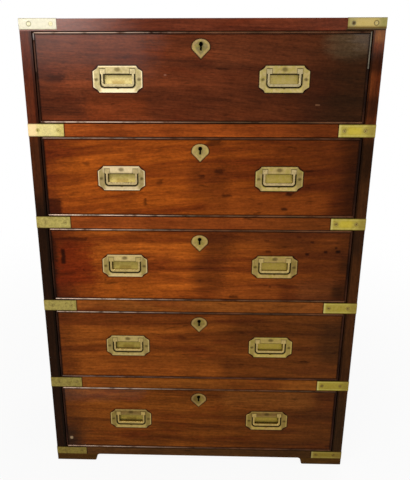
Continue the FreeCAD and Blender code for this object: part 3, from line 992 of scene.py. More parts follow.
@dataclass(frozen=True)
class Carcass:
    """The case that the drawers run in.

    Attributes:
        strap_reach: how far from the middle the straps begin.
        opening: half the width of the drawer openings.
        rims: how far the dirt round the brasses reaches.
    """

    strap_reach: float = 0.3016
    opening: float = 0.356
    rims: float = 0.004

    def dress(self, dresser: Dresser) -> None:
        """Finishes the case's boards, each with its own figure.

        Args:
            dresser: puts the finishes on the pieces.
        """
        self._top(dresser)
        self._sides(dresser)
        self._rails(dresser)
        for name, grain, seed, light, deep, piece in (
            ("runner_pine", Grain.DEEP, 10.4, "a87f50", "80592f", "drawer_runners"),
            ("floor_pine", Grain.ACROSS, 11.8, "8c683f", "6a4a2a", "bottom_board"),
            ("back_pine", Grain.UPRIGHT, 12.6, "7a5732", "573a20", "back_boards"),
        ):
            dresser.coat(Timber(name, grain, seed, light, deep, deep, rough=0.6), piece)

    def _top(self, dresser: Dresser) -> None:
        """The top board, greyed by reflections at the left of its front edge, painted lighter there where the
        light falls, and with a painted shadow under the right corner brass.

        Args:
            dresser: puts the finishes on the pieces.
        """
        stains = (
            # painted light: the front edge is warmer and lighter at the left, where the light falls
            Stain(FRONT_EDGE & Fade(0, -0.12, -0.30), "90482c", 0.4),
            # painted shadow: a dark band under the right corner brass
            Stain(FRONT_EDGE & Patch(0.342, 1.0915, 0.042, 0.0020, 0.0020), "382808", 0.8),
        )
        gleams = (
            (FRONT_EDGE & Fade(0, -0.08, -0.32), 0.95),
            (FRONT_EDGE & Fade(0, 0.12, 0.45), 0.3),
            (BEHIND_EDGE, 0.15),
        )
        top = Timber("top_mahogany", Grain.ACROSS, 1.3, "6c321c", "4a1e10", stains=stains, gleams=gleams)
        dresser.coat(top, "top_board")

    def _sides(self, dresser: Dresser) -> None:
        """Both side boards, whose front edges darken towards the floor in painted shade, and beside the
        drawers with dirt and painted shade in the gaps.

        Args:
            dresser: puts the finishes on the pieces.
        """
        left = (
            # painted shade: the left front edge darkens towards the floor, as the light falls from above
            Stain(FRONT_EDGE & Fade(2, 0.92, 0.84), "40200c", 0.85, 0.05),
            Stain(FRONT_EDGE & Fade(2, 0.80, 0.69), "1c0e05", 0.94, 0.05),
            # dirt and painted shade in the gap beside the drawer openings
            wash(-self.opening - 0.007, -self.opening - 0.003, "0c0602", 0.7),
        )
        right = (
            Stain(FRONT_EDGE & Patch(0.372, 1.030, 0.010, 0.012, 0.02), "180c06", 0.7, 0.02),
            Stain(FRONT_EDGE & Patch(0.370, 1.082, 0.004, 0.006, 0.014), "94602c", 0.45),
            Stain(FRONT_EDGE & Patch(0.372, 0.935, 0.010, 0.010, 0.02), "200e06", 0.6, 0.02),
            # painted shade: the right front edge darkens towards the floor
            Stain(FRONT_EDGE & Fade(2, 0.89, 0.85), "38200c", 0.88, 0.03),
            Stain(FRONT_EDGE & Fade(2, 0.26, 0.18), "2e1e0c", 0.7, 0.04),
            Stain(FRONT_EDGE & Patch(0.372, 0.82, 0.010, 0.02, 0.04), "200e04", 0.6, 0.03),
            Stain(FRONT_EDGE & Patch(0.372, 0.63, 0.010, 0.015, 0.04), "22140a", 0.6, 0.03),
            # dirt and painted shade in the gap beside the drawer openings
            wash(self.opening + 0.005, self.opening + 0.002, "0c0602", 0.6),
        )
        for side, seed, light, deep, stains, shine, strength in (
            ("left", 2.1, "6c3018", "48200f", left, Fade(2, 0.96, 1.08), 0.35),
            ("right", 3.4, "783a18", "44200c", right, Fade(2, 1.02, 1.09), 0.5),
        ):
            marks = {"stains": stains, "gleams": ((FRONT_EDGE & shine, strength),)}
            board = Timber(f"{side}_side_mahogany", Grain.UPRIGHT, seed, light, deep, **marks)
            dresser.coat(board, f"side_panel_{side}")

    def _rails(self, dresser: Dresser) -> None:
        """The rails, warm in their left half and painted darker towards the right where less light falls, and
        the base rails, painted darker to the right likewise, and feet.

        Args:
            dresser: puts the finishes on the pieces.
        """
        reach = self.strap_reach
        strap_ends = (
            wash(-reach + self.rims, -reach, "140a04", 0.8),
            wash(reach - self.rims, reach, "140a04", 0.8),
        )
        lower = (wash(-0.19, -0.28, "6e3010", 0.3),)
        # the third colour of each rail is the painted shade it takes towards its right end
        tones = (
            ("a6501a", "843c12", "5a280e", 0.02, ()),
            ("924618", "763612", "60300f", 0.02, ()),
            ("8e4e1c", "723c12", "7c441a", 0.12, lower),
            ("8a4c18", "6e3a12", "804818", 0.12, lower),
        )
        for number, (light, deep, right, start, more) in enumerate(tones, 1):
            # painted shade: each rail darkens towards its right end, where less light falls
            stains = (wash(start, 0.30, right, 0.8, 0.08), *more, *strap_ends)
            rail = Timber(f"rail_{number}_mahogany", Grain.ACROSS, 4.0 + number, light, deep, stains=stains)
            dresser.coat(rail, f"drawer_rail_{number}")
        # painted shade: the base rails darken towards the right, where less light falls
        marks = (wash(0.04, 0.24, "34200a", 0.5, 0.05), *strap_ends)
        base = Timber("base_mahogany", Grain.ACROSS, 9.2, "5c3a1a", "402610", "4c2c14", stains=marks)
        dresser.coat(base, "base_rails")
        feet = Timber("foot_mahogany", Grain.ACROSS, 9.9, "523410", "3a2408", "46280a")
        dresser.coat(feet, "bracket_feet")


@dataclass(frozen=True)
class Bindings:
    """The brass corners and straps let into the case, and their screws.

    Attributes:
        screws: how far the outer and the inner screws lie from the corner, in metres.
        strap_reach: how far from the middle the straps and the corner brasses begin.
        corner_band: how wide the corner brasses' arms are.
        yellow: the tone that both kinds take towards the right.
    """

    screws: tuple[float, ...] = (0.022, 0.068)
    strap_reach: float = 0.3016
    corner_band: float = 0.022
    yellow: Stain = wash(-0.30, 0.28, "9c8820", 0.46)

    def dress(self, dresser: Dresser) -> None:
        """Finishes the brasses, painted brighter towards the top, where more light falls.

        Args:
            dresser: puts the finishes on the pieces.
        """
        low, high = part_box("corner_straps")
        _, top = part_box("top_corner_brasses")
        bands = [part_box(f"drawer_rail_{number}") for number in range(1, DRAWERS)] + [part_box("base_rails")]
        straps = tuple(((foot.z + head.z) / 2, (head.z - foot.z) / 2) for foot, head in bands)
        corners = ((top.z - self.corner_band / 2, self.corner_band / 2),)
        size = (high.x, -low.y)
        self._corners(dresser, corners, size)
        self._straps(dresser, straps, size)
        self._screws(dresser, corners, straps, size)

    def _dirt(self, levels: Levels, size: Pair, colour: str, ring: float) -> tuple[Stain, ...]:
        """Dirt along the edges of the brasses and in rings round their screws."""
        rings = ScrewRing(levels, *size, self.screws)
        return (Stain(StrapEdge(levels), colour, 0.6), Stain(rings, colour, ring))

    def _corners(self, dresser: Dresser, levels: Levels, size: Pair) -> None:
        """The top corners' brasses: pale and grey at the left under a painted highlight, golden and dirty at
        the right.

        Args:
            dresser: puts the finishes on the pieces.
            levels: each binding's middle height and half height.
            size: the half sizes of the chest over its brasses.
        """
        middle, half = levels[0]
        foot = middle - half
        end = self.strap_reach
        outer = ScrewRing(levels, *size, self.screws[:1], 0.0046, 0.0018)
        inner = ScrewRing(levels, *size, self.screws[1:], 0.0, 0.0060)
        stains = (
            self.yellow,
            # painted highlight: greys the left corner brass so that it renders as pale as glare
            wash(-0.29, -0.302, "7c7c76", 0.6),
            spot(0.340, middle, 0.016, 0.002, 0.014, "ccae64", 0.5),
            wash(0.362, 0.374, "7c7838", 0.5),
            Stain(RIGHT_HALF & Fade(0, end + 0.006, end + 0.001), "80702c", 0.5),
            Stain(RIGHT_HALF & Fade(2, foot + 0.0070, foot + 0.0015), "54380c", 0.9),
            Stain(LEFT_BRASSES & outer, "343a2c", 0.65),
            Stain(RIGHT_HALF & outer, "5c4410", 0.8),
            Stain(RIGHT_HALF & inner, "4c3408", 0.9),
            *self._dirt(levels, size, "6c6448", 0.7),
        )
        tones = ("a2987a", "8c7a48", "86784e", 0.2)
        brass = Metal("corner_brass", *tones, stains=stains, uneven=0.25, green=0.1)
        dresser.coat(brass, "top_corner_brasses")

    def _straps(self, dresser: Dresser, levels: Levels, size: Pair) -> None:
        """The straps: the upper left one painted pale with glare, the right ones golden with painted
        highlights along their edges and inner ends, and dull outer ends.

        Args:
            dresser: puts the finishes on the pieces.
            levels: each binding's middle height and half height.
            size: the half sizes of the chest over its brasses.
        """
        end = self.strap_reach
        dots = ScrewRing(levels, *size, self.screws, 0.0, 0.0062)
        stains = (
            self.yellow,
            # painted highlights: glare on the upper left strap, palest at its outer end
            Stain(LEFT_BRASSES & Fade(2, 0.84, 0.87), "e6d8a4", 0.28),
            spot(-0.374, 0.888, 0.006, 0.012, 0.012, "f0c8a0", 0.4),
            # painted highlights: pale lines inside the right straps' edges and at their inner ends
            Stain(RIGHT_HALF & StrapEdge(levels, 0.0034), "dcd078", 0.22),
            Stain(RIGHT_HALF & Fade(0, end + 0.007, end + 0.002), "e0d488", 0.3),
            Stain(RIGHT_HALF & dots, "5c3c0a", 0.7),
            Stain(RIGHT_HALF & Fade(0, 0.356, 0.372), "74602c", 0.45),
            Stain(RIGHT_HALF & Fade(2, 0.20, 0.06), "5c4020", 0.4),
            *(spot(0.336, z, 0.010, 0.003, 0.010, "d0b82c", 0.4) for z, _ in levels[:2]),
            *self._dirt(levels, size, "4a3814", 0.4),
        )
        # painted light: the straps' high tone is much brighter than their low one, as more light falls at the
        # top
        tones = ("beae64", "76642e", "5e4a1c", 0.35)
        dresser.coat(Metal("strap_brass", *tones, stains=stains, uneven=0.42, green=0.2), "corner_straps")

    def _screws(self, dresser: Dresser, corners: Levels, straps: Levels, size: Pair) -> None:
        """The screws, each with a dirty slot, those on the left corner greyed by the same painted highlight.

        Args:
            dresser: puts the finishes on the pieces.
            corners: the middle height and half height of the corner brasses.
            straps: the same of each strap.
            size: the half sizes of the chest over its brasses.
        """
        slots = ScrewRing(straps, *size, self.screws, 0.0, 0.0028)
        heads = ScrewRing(straps, *size, self.screws, 0.0, 0.0048)
        upper = ScrewRing(corners, *size, self.screws, 0.0, 0.0070)
        stains = (
            Stain(Fade(2, 1.08, 1.085), "988e70", 0.9),
            Stain(slots, "54300f", 0.65),
            Stain(RIGHT_HALF & heads, "644410", 0.7),
            Stain(RIGHT_HALF & Fade(0, 0.345, 0.335) & upper, "3c2806", 1.0),
            Stain(Fade(0, 0.345, 0.350) & upper, "c0a860", 0.8),
            # painted highlight: the left corner's screws are greyed like that brass
            Stain(LEFT_BRASSES & upper, "90907e", 0.8),
        )
        # painted light: the screws are brighter at the top than at the foot
        brass = Metal("screw_brass", "b8aa64", "786632", "5a4620", 0.3, stains=stains)
        dresser.coat(brass, "binding_screws")


@dataclass(frozen=True)
class WearAndHighlights:
    """How a drawer's pair of handles has aged, and the highlights painted on its left plate.

    Attributes:
        over: how tarnished the left and the right plate are over the bail.
        ends: how tarnished the plates' ends are.
        foot: how strong the painted highlight on the left plate under the bail is.
        tarnish: the colour of the tarnish over the bail.
        pan: the colour in the pans.
        glow: the colour of the painted highlights.
        rim: how strong the painted highlight along the left plate's rim is.
        crown: how strong the painted highlight on the left plate over the bail is.
        far: how tarnished the right plate's outer end is.
        right: the tone that the right plate takes.
    """

    over: Pair = (0.1, 0.35)
    ends: float = 0.45
    foot: float = 0.3
    tarnish: str = "6e5c30"
    pan: str = "74661c"
    glow: str = "ecd09c"
    rim: float = 0.4
    crown: float = 0.0
    far: float = 0.0
    right: str = "ccac4c"


@dataclass(frozen=True)
class Handle:
    """A flush handle's sizes about its middle, in metres.

    Attributes:
        offset: how far it lies from the middle of the drawer.
        half_wide, half_high: the plate's half sizes.
        pan: the pan's half width, foot and top.
        wall_band: how far in from the pan's walls the dirt and painted shade of the hollow behind the bail
            reach.
        slot: the inner side of the slot for a bail's knuckle, and its top.
        ends: where the dull ends begin and stop.
        top_screw, end_screw: the places of its screws' dirt.
    """

    offset: float = 0.178
    half_wide: float = 0.0535
    half_high: float = 0.028
    pan: tuple[float, float, float] = (0.038, -0.018, 0.011)
    wall_band: Pair = (0.0055, 0.0085)
    slot: Pair = (0.0264, 0.022)
    ends: Pair = (0.036, 0.049)
    top_screw: Pair = (0.0, 0.0200)
    end_screw: Pair = (0.0459, -0.0005)

    def stains(self, z: float, front: float, wear_and_highlights: WearAndHighlights) -> tuple[Stain, ...]:
        """The dirt, tarnish, painted highlights and painted shade on a drawer's pair of handles.

        Args:
            z: the height of the handles' middle.
            front: the plane of the plates' faces.
            wear_and_highlights: how the pair has aged, and its painted highlights.

        Returns:
            A warmer right plate, dull ends, tarnish over the bails, painted highlights on the left plate's
            foot, top and rim, dark edges of dirt and painted shade, dirt and painted shade round the pan, a
            dirty pan with a painted shadow across the left one's middle, painted shade in the slots, dirt and
            painted shade in the hollow round the bail, and dirty screws.
        """
        place = partial(OnHandles, self.offset, front, z)
        pan_half, pan_low, pan_high = self.pan
        outline = (self.half_wide, self.half_high, True)
        dull, bright = self.ends
        ends = Fade(0, dull, dull + 0.006) & Fade(0, bright + 0.003, bright)
        slot_inner, slot_top = self.slot
        slots = Slots(slot_inner, pan_half, slot_top) & Fade(2, pan_high, pan_high + 0.001)
        hollow = place(Fade(1, 0.0006, 0.0035))
        over = (z + (pan_high + self.half_high) / 2, 0.036, 0.002, 0.010)
        under = (z + (pan_low - self.half_high) / 2, 0.032, 0.002, 0.008)
        tarnish_left, tarnish_right = wear_and_highlights.over
        return (
            wash(0.0, 0.2, wear_and_highlights.right, 0.26),
            Stain(place(ends), "5a4a1c", wear_and_highlights.ends),
            spot(-self.offset, *over, wear_and_highlights.tarnish, tarnish_left),
            spot(self.offset, *over, wear_and_highlights.tarnish, tarnish_right),
            # painted highlights on the left plate, under the bail and over it
            spot(-self.offset, *under, wear_and_highlights.glow, wear_and_highlights.foot),
            spot(-self.offset, *over, wear_and_highlights.glow, wear_and_highlights.crown),
            spot(self.offset + 0.046, z, 0.004, 0.012, 0.008, "46340f", wear_and_highlights.far),
            # painted highlight along the left plate's rim
            Stain(place(PlateRim(*outline)) & Fade(0, 0.10, -0.10), wear_and_highlights.glow, wear_and_highlights.rim),
            # dirt and painted shade: a dark line along the plates' own edges
            Stain(place(PlateRim(*outline, 0.0014)), "2c1c08", 0.6),
            # dirt and painted shade in the gap round the pan
            Stain(place(PanRim(*self.pan)), "2c240c", 0.75),
            Stain(hollow, wear_and_highlights.pan, 0.62),
            # painted shadow: a brown band across the left pan's middle
            Stain(hollow & Patch(-self.offset, z - 0.007, 0.010, 0.001, 0.007), "604418", 0.45),
            Stain(hollow & Fade(0, 0.0, 0.2), "b89c34", 0.1),
            # painted shade round the knuckles' slots
            Stain(place(slots), "2c240c", 0.6),
            # dirt and painted shade in the hollow behind the bail, along the pan's walls
            Stain(hollow & place(PanWalls(*self.pan, self.wall_band)), "241a08", 0.9),
            Stain(place(Disc(*self.top_screw, 0.0022, 0.0044)), "46371a", 0.65),
            Stain(place(Disc(*self.end_screw)), "3a2e12", 0.65),
        )

    def rim(self, z: float) -> Stain:
        """The dark line on the front board round both plates: dirt and painted shade."""
        return Stain(OnHandles(self.offset, 0.0, z, PlateRim(self.half_wide, self.half_high)), "120804", 0.8)


@dataclass(frozen=True)
class Escutcheon:
    """A shield's sizes, in metres: how far its widest part lies under the drawer's top, and its reach."""

    below_top: float = 0.0298
    half_wide: float = 0.0195
    crown: float = 0.0158
    slope: float = 0.0244

    def rim(self, drawer_top: float) -> Stain:
        """The dark line round the shield: dirt and painted shade."""
        rim = ShieldRim(drawer_top - self.below_top, self.half_wide, self.crown, self.slope)
        return Stain(rim, "120804", 0.8)

    def stains(self, drawer_top: float, shade: float) -> tuple[Stain, ...]:
        """The shield's own marks.

        Args:
            drawer_top: the height of the drawer front's top.
            shade: how dark the left half is.

        Returns:
            A dull left half, a warm painted highlight round its rim, dirt round the keyhole and a dark edge.
        """
        z = drawer_top - self.below_top
        outline = (z, self.half_wide, self.crown, self.slope, True)
        return (
            wash(0.002, -0.010, "4a3418", shade),
            # painted highlight round the shield's rim
            Stain(ShieldRim(*outline, 0.0075), "dcae74", 0.16),
            spot(0.0, z + 0.0015, 0.0005, 0.004, 0.0075, "3c3410", 0.6),
            Stain(ShieldRim(*outline, 0.0016), "2c1c08", 0.6),
        )


@dataclass(frozen=True)
class Drawer:
    """One drawer with its handles and lock.

    Attributes:
        number: counted from the top.
        light, deep: the colours of its front.
        brass, lock: the colours of its handles and of its escutcheon.
        seed: its own figure.
        slope: how much its figure climbs to the right.
        stains, gleams: marks and polish on its front, the marks with painted shade towards its right end.
        crests: how strong the painted highlights along its upper and its lower bead are.
        sheen: further painted highlights on its beads.
        wear_and_highlights, shade: the state of its handles with their painted highlights, and how dull the
            left of its escutcheon is.
        bead: the colours of its beads.
        handle, shield: the sizes of its brasses.
        bead_width: how wide its beads are, in metres.
        grime_and_shade: how far dirt and painted shade reach in from them.
    """

    number: int
    light: str
    deep: str
    brass: str
    lock: str
    seed: float
    slope: float = 0.0
    stains: tuple[Stain, ...] = ()
    gleams: tuple[tuple[Mask, float], ...] = ()
    crests: Pair = (0.4, 0.4)
    sheen: tuple[Stain, ...] = ()
    wear_and_highlights: WearAndHighlights = WearAndHighlights()
    shade: float = 0.0
    bead: tuple[str, str] = ("5c3420", "2c160c")
    handle: Handle = Handle()
    shield: Escutcheon = Escutcheon()
    bead_width: float = 0.0045
    grime_and_shade: float = 0.004

    def name(self, part: str) -> str:
        """A part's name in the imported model."""
        return f"drawer_{self.number}_{part}"

    def dress(self, dresser: Dresser) -> None:
        """Finishes the drawer's pieces.

        Args:
            dresser: puts the finishes on the pieces.
        """
        self._front(dresser)
        self._lining(dresser)
        self._brasses(dresser)

    def _front(self, dresser: Dresser) -> None:
        """The front board, with dirt and painted shade against its beads and brasses and painted shade in its
        keyhole, and the beads.

        Args:
            dresser: puts the finishes on the pieces.
        """
        low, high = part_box(self.name("front"))
        plates_low, plates_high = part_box(self.name("handle_plates"))
        edge = self.bead_width
        # dirt and painted shade round the beads and brasses, and painted shade in the keyhole
        dirt = (
            # dirt and painted shade on the field against the beads
            Stain(BoardRim(high.x - edge, low.z + edge, high.z - edge, self.grime_and_shade), "100804", 0.75),
            self.handle.rim((plates_low.z + plates_high.z) / 2),
            self.shield.rim(high.z),
            # painted shade inside the keyhole
            Stain(Keyway(low.y), "080402", 0.9),
        )
        figure = (self.seed, self.light, self.deep)
        marks = {"slope": self.slope, "stains": self.stains + dirt, "gleams": self.gleams}
        front = Timber(self.name("front_mahogany"), Grain.ACROSS, *figure, **marks)
        dresser.coat(front, self.name("front"))
        crests = self._crests(low.z, high.z) + self.sheen
        bead = Bead(self.name("bead_mahogany"), *self.bead, self.seed, high.x, crests)
        dresser.coat(bead, self.name("cockbeads"))

    def _crests(self, foot: float, head: float) -> tuple[Stain, ...]:
        """The painted highlights along the crests of the level beads, strongest at the left, where the light
        falls.

        Args:
            foot: the height of the drawer front's foot.
            head: the height of its top.

        Returns:
            The painted highlights, two for each bead.
        """
        crests = []
        for height, strength in zip((head, foot + self.bead_width), self.crests):
            # painted highlight: a pale line along the bead's crest, paler at the left
            crest = Patch(0.0, height - self.bead_width * 0.4, 0.35, 0.0005, 0.0009)
            crests.append(Stain(crest, "94744c", strength * 0.3))
            crests.append(Stain(crest & Fade(0, 0.02, -0.28), "ecccb4", strength))
        return tuple(crests)

    def _lining(self, dresser: Dresser) -> None:
        """The bare wood inside.

        Args:
            dresser: puts the finishes on the pieces.
        """
        bare = ("a4713f", "7c4f28", "7c4f28")
        side = Timber(self.name("side_lining"), Grain.DEEP, self.seed + 0.7, *bare, rough=0.6)
        floor = Timber(self.name("bottom_lining"), Grain.ACROSS, self.seed + 0.9, *bare, rough=0.6)
        dresser.coat(side, self.name("sides_and_back"))
        dresser.coat(floor, self.name("bottom"))

    def _brasses(self, dresser: Dresser) -> None:
        """The handle plates, bails, escutcheon, lock and bolt.

        Args:
            dresser: puts the finishes on the pieces.
        """
        low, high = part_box(self.name("handle_plates"))
        middle = (low.z + high.z) / 2
        stains = self.handle.stains(middle, low.y, self.wear_and_highlights)
        tones = (self.brass, self.brass, "8a7a44")
        plate = Metal(self.name("plate_brass"), *tones, 0.35, 0.42, stains, green=0.4)
        bail = Metal(self.name("bail_brass"), *tones, 0.2, 0.32)
        front_low, front_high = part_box(self.name("front"))
        # the shield's marks, and painted shade inside the keyhole
        marks = (*self.shield.stains(front_high.z, self.shade), Stain(Keyway(front_low.y), "050302"))
        lock = Metal(self.name("lock_brass"), self.lock, self.lock, "7c6436", 0.5, 0.42, marks, green=0.25)
        bolt = Metal(self.name("bolt_steel"), "8c8c88", "8c8c88", "5c5850", 0.4, 0.3)
        dresser.coat(plate, self.name("handle_plates"))
        dresser.coat(bail, self.name("bail_left"), self.name("bail_right"))
        dresser.coat(lock, self.name("lock_and_escutcheon"))
        dresser.coat(bolt, self.name("lock_bolt"))


TOP_DRAWER = Drawer(
    1,
    "76371a",
    "4c2210",
    brass="a89870",
    lock="6c6040",
    seed=21.0,
    crests=(0.6, 0.85),
    # painted highlights on the upright beads near the top corners
    sheen=(
        spot(0.3516, 1.052, 0.0006, 0.036, 0.0010, "948c78", 0.6),
        spot(-0.3516, 1.080, 0.0006, 0.006, 0.0012, "c0b4ac", 0.5),
        spot(-0.3516, 1.040, 0.0004, 0.030, 0.0012, "7c5848", 0.4),
    ),
    wear_and_highlights=WearAndHighlights((0.25, 0.3), 0.25, 0.45, pan="7a6c38", glow="f4dcb8"),
    slope=-0.05,
    stains=(
        # painted shade: the front darkens towards its right end, where less light falls
        wash(-0.16, 0.32, "26140a", 0.8, 0.1),
        spot(0.16, 1.055, 0.10, 0.008, 0.05, "6a361c", 0.35, 0.05),
        spot(0.12, 0.92, 0.07, 0.006, 0.04, "6a3216", 0.35, 0.05),
        wash(-0.31, -0.36, "3a180c", 0.4, 0.03),
        spot(-0.318, 0.995, 0.010, 0.0, 0.016, "1c0e08", 0.55, 0.07),
        spot(-0.29, 0.94, 0.03, 0.006, 0.04, "280f08", 0.4, 0.08),
        spot(-0.05, 0.945, 0.10, 0.006, 0.03, "341408", 0.35, 0.05),
        wash(0.20, 0.32, "1e1c0a", 0.3, 0.05),
        # painted reflection: a grey sheen near the top right corner
        spot(0.31, 1.068, 0.02, 0.006, 0.045, "6c5a40", 0.36, 0.04),
        spot(-0.265, 0.995, 0.02, 0.012, 0.02, "8c4420", 0.25, 0.04),
        spot(-0.18, 0.93, 0.05, 0.01, 0.03, "8a3c14", 0.3, 0.05),
        spot(-0.076, 1.0029, 0.0015, 0.0006, 0.0022, "b07860", 0.4),
        spot(0.252, 0.941, 0.004, 0.0004, 0.002, "b07c58", 0.28),
    ),
    gleams=(
        (Patch(-0.27, 1.06, 0.12, 0.005, 0.10), 0.46),
        (Patch(-0.31, 1.07, 0.04, 0.01, 0.05), 0.52),
        (Patch(0.338, 1.078, 0.004, 0.004, 0.040), 0.55),
    ),
)
SECOND_DRAWER = Drawer(
    2,
    "a85214",
    "6a2a0a",
    brass="b09a6c",
    lock="94804e",
    seed=22.3,
    crests=(0.25, 1.0),
    wear_and_highlights=WearAndHighlights((0.0, 0.3), 0.45, 0.25, glow="f4dcb8", crown=0.32, far=0.25),
    slope=0.07,
    stains=(
        # painted shade: the front darkens towards its right end, where less light falls
        wash(-0.14, 0.36, "401a0a", 0.8, 0.1),
        spot(0.15, 0.715, 0.12, 0.010, 0.035, "8c4414", 0.5, 0.05),
        spot(0.03, 0.775, 0.02, 0.015, 0.05, "4a1e0a", 0.45, 0.06),
        wash(0.28, 0.35, "140a04", 0.7, 0.03),
        wash(-0.27, -0.36, "4c180a", 0.7, 0.06),
        spot(-0.336, 0.7135, 0.015, 0.014, 0.009, "2c0e06", 0.8, 0.015),
        spot(-0.259, 0.809, 0.004, 0.0, 0.010, "1c0a04", 0.5, 0.04),
        spot(0.049, 0.799, 0.004, 0.001, 0.009, "1c0a04", 0.65, 0.04),
        spot(0.011, 0.7875, 0.002, 0.001, 0.009, "240c04", 0.6, 0.04),
        spot(-0.091, 0.771, 0.001, 0.001, 0.010, "240c04", 0.5, 0.04),
        spot(-0.126, 0.724, 0.0, 0.006, 0.006, "240c04", 0.65, 0.02),
        spot(0.068, 0.744, 0.006, 0.0, 0.008, "200a04", 0.6, 0.03),
        spot(0.037, 0.8636, 0.008, 0.002, 0.018, "240c04", 0.6, 0.05),
        spot(0.204, 0.745, 0.005, 0.0, 0.006, "140604", 0.8, 0.02),
        spot(0.195, 0.71, 0.004, 0.0, 0.006, "140604", 0.8, 0.02),
    ),
)
THIRD_DRAWER = Drawer(
    3,
    "ae5818",
    "6a2c0c",
    brass="ae965c",
    lock="988248",
    seed=23.9,
    crests=(0.6, 0.85),
    wear_and_highlights=WearAndHighlights((0.05, 0.35), 0.42, 0.3, crown=0.2, far=0.3, right="b08448"),
    slope=0.02,
    stains=(
        # painted shade: the front darkens towards its right end, where less light falls
        wash(-0.04, 0.32, "401e0e", 0.72, 0.1),
        spot(0.12, 0.64, 0.12, 0.008, 0.05, "3c1a0c", 0.5, 0.06),
        spot(0.12, 0.50, 0.06, 0.004, 0.03, "8c4616", 0.5, 0.05),
        wash(-0.23, -0.35, "56200a", 0.85, 0.08),
        spot(-0.306, 0.560, 0.022, 0.030, 0.05, "6a2008", 0.75, 0.12),
        spot(-0.330, 0.544, 0.020, 0.0, 0.010, "2a0e04", 0.45, 0.03),
        spot(-0.332, 0.502, 0.012, 0.010, 0.028, "34140a", 0.42, 0.04),
        spot(-0.351, 0.555, 0.002, 0.08, 0.012, "200b04", 0.75, 0.02),
        spot(-0.278, 0.555, 0.001, 0.001, 0.0035, "3a1004", 0.7, 0.01),
        spot(-0.228, 0.5296, 0.001, 0.0006, 0.0030, "3a1004", 0.6, 0.01),
        spot(-0.342, 0.578, 0.002, 0.001, 0.0040, "1c0a04", 0.6, 0.01),
        spot(-0.18, 0.505, 0.06, 0.015, 0.03, "7c3a0e", 0.25, 0.05),
        spot(0.285, 0.508, 0.03, 0.01, 0.03, "7a4420", 0.3, 0.04),
        spot(0.336, 0.505, 0.006, 0.006, 0.020, "141006", 0.65, 0.02),
        spot(0.343, 0.572, 0.002, 0.006, 0.020, "141006", 0.5, 0.02),
        wash(0.27, 0.36, "2c1608", 0.5, 0.04),
        spot(0.028, 0.575, 0.012, 0.05, 0.05, "3e1a0a", 0.62, 0.06),
        spot(-0.326, 0.589, 0.002, 0.016, 0.006, "140602", 0.85, 0.01),
        spot(0.2525, 0.6000, 0.002, 0.0008, 0.0045, "1c0804", 0.85),
        spot(0.2952, 0.6058, 0.002, 0.0008, 0.0045, "1c0804", 0.85),
        spot(0.3242, 0.6071, 0.003, 0.0008, 0.0050, "100603", 0.9),
        spot(0.3190, 0.6162, 0.001, 0.0008, 0.0040, "140703", 0.8),
        spot(0.2623, 0.6300, 0.002, 0.0004, 0.0040, "240c04", 0.7),
        spot(0.2312, 0.6422, 0.003, 0.0004, 0.0040, "2c1006", 0.6),
        spot(0.1603, 0.6055, 0.004, 0.0004, 0.0045, "2c0e04", 0.7, 0.01),
        spot(0.1556, 0.6325, 0.004, 0.0004, 0.0045, "2c0e04", 0.5, 0.01),
        spot(0.0846, 0.4900, 0.008, 0.0004, 0.0060, "240c04", 0.7, 0.01),
        spot(0.1694, 0.5168, 0.001, 0.001, 0.0040, "2c0e04", 0.5),
        spot(-0.305, 0.632, 0.034, 0.0, 0.008, "2a0c04", 0.6, 0.02),
    ),
)
FOURTH_DRAWER = Drawer(
    4,
    "8e4a16",
    "58280b",
    brass="aa925a",
    lock="846e3e",
    seed=24.8,
    crests=(0.5, 0.1),
    wear_and_highlights=WearAndHighlights((0.15, 0.35), 0.45, 0.0, pan="7c6c18", glow="dcc284", rim=0.25, crown=0.1),
    shade=0.25,
    slope=0.01,
    stains=(
        # painted shade: the front darkens towards its right end, where less light falls
        wash(-0.15, 0.36, "3a2210", 0.62, 0.1),
        spot(-0.19, 0.43, 0.17, 0.006, 0.04, "5a280c", 0.5, 0.06),
        spot(-0.12, 0.29, 0.17, 0.006, 0.03, "944e18", 0.45, 0.06),
        wash(-0.28, -0.36, "461c0a", 0.5, 0.05),
        spot(0.34, 0.37, 0.02, 0.03, 0.05, "28180a", 0.6, 0.05),
        spot(-0.035, 0.379, 0.004, 0.002, 0.014, "341406", 0.5, 0.05),
        spot(0.12, 0.397, 0.01, 0.01, 0.05, "3a1c0a", 0.4, 0.06),
    ),
)
BOTTOM_DRAWER = Drawer(
    5,
    "804414",
    "50260b",
    brass="a68c50",
    lock="766032",
    seed=25.6,
    crests=(0.75, 0.5),
    wear_and_highlights=WearAndHighlights((0.65, 0.7), 0.60, 0.0, "4a2c10", "7a6c20", "d4ba7c", 0.2, right="b08448"),
    shade=0.6,
    stains=(
        # painted shade: the front darkens towards its right end, where less light falls
        wash(0.0, 0.34, "301c0e", 0.5, 0.1),
        spot(0.18, 0.205, 0.10, 0.006, 0.04, "804a1c", 0.5, 0.05),
        wash(-0.26, -0.36, "3c1e0e", 0.6, 0.05),
        spot(-0.35, 0.07, 0.01, 0.01, 0.06, "201810", 0.8, 0.05),
        spot(-0.3396, 0.073, 0.001, 0.001, 0.005, "b89c78", 0.7),
        spot(0.345, 0.061, 0.003, 0.0, 0.006, "1c0c04", 0.6, 0.01),
    ),
    gleams=((Patch(-0.26, 0.215, 0.10, 0.004, 0.03), 0.25),),
)
DRAWER_SET = (TOP_DRAWER, SECOND_DRAWER, THIRD_DRAWER, FOURTH_DRAWER, BOTTOM_DRAWER)


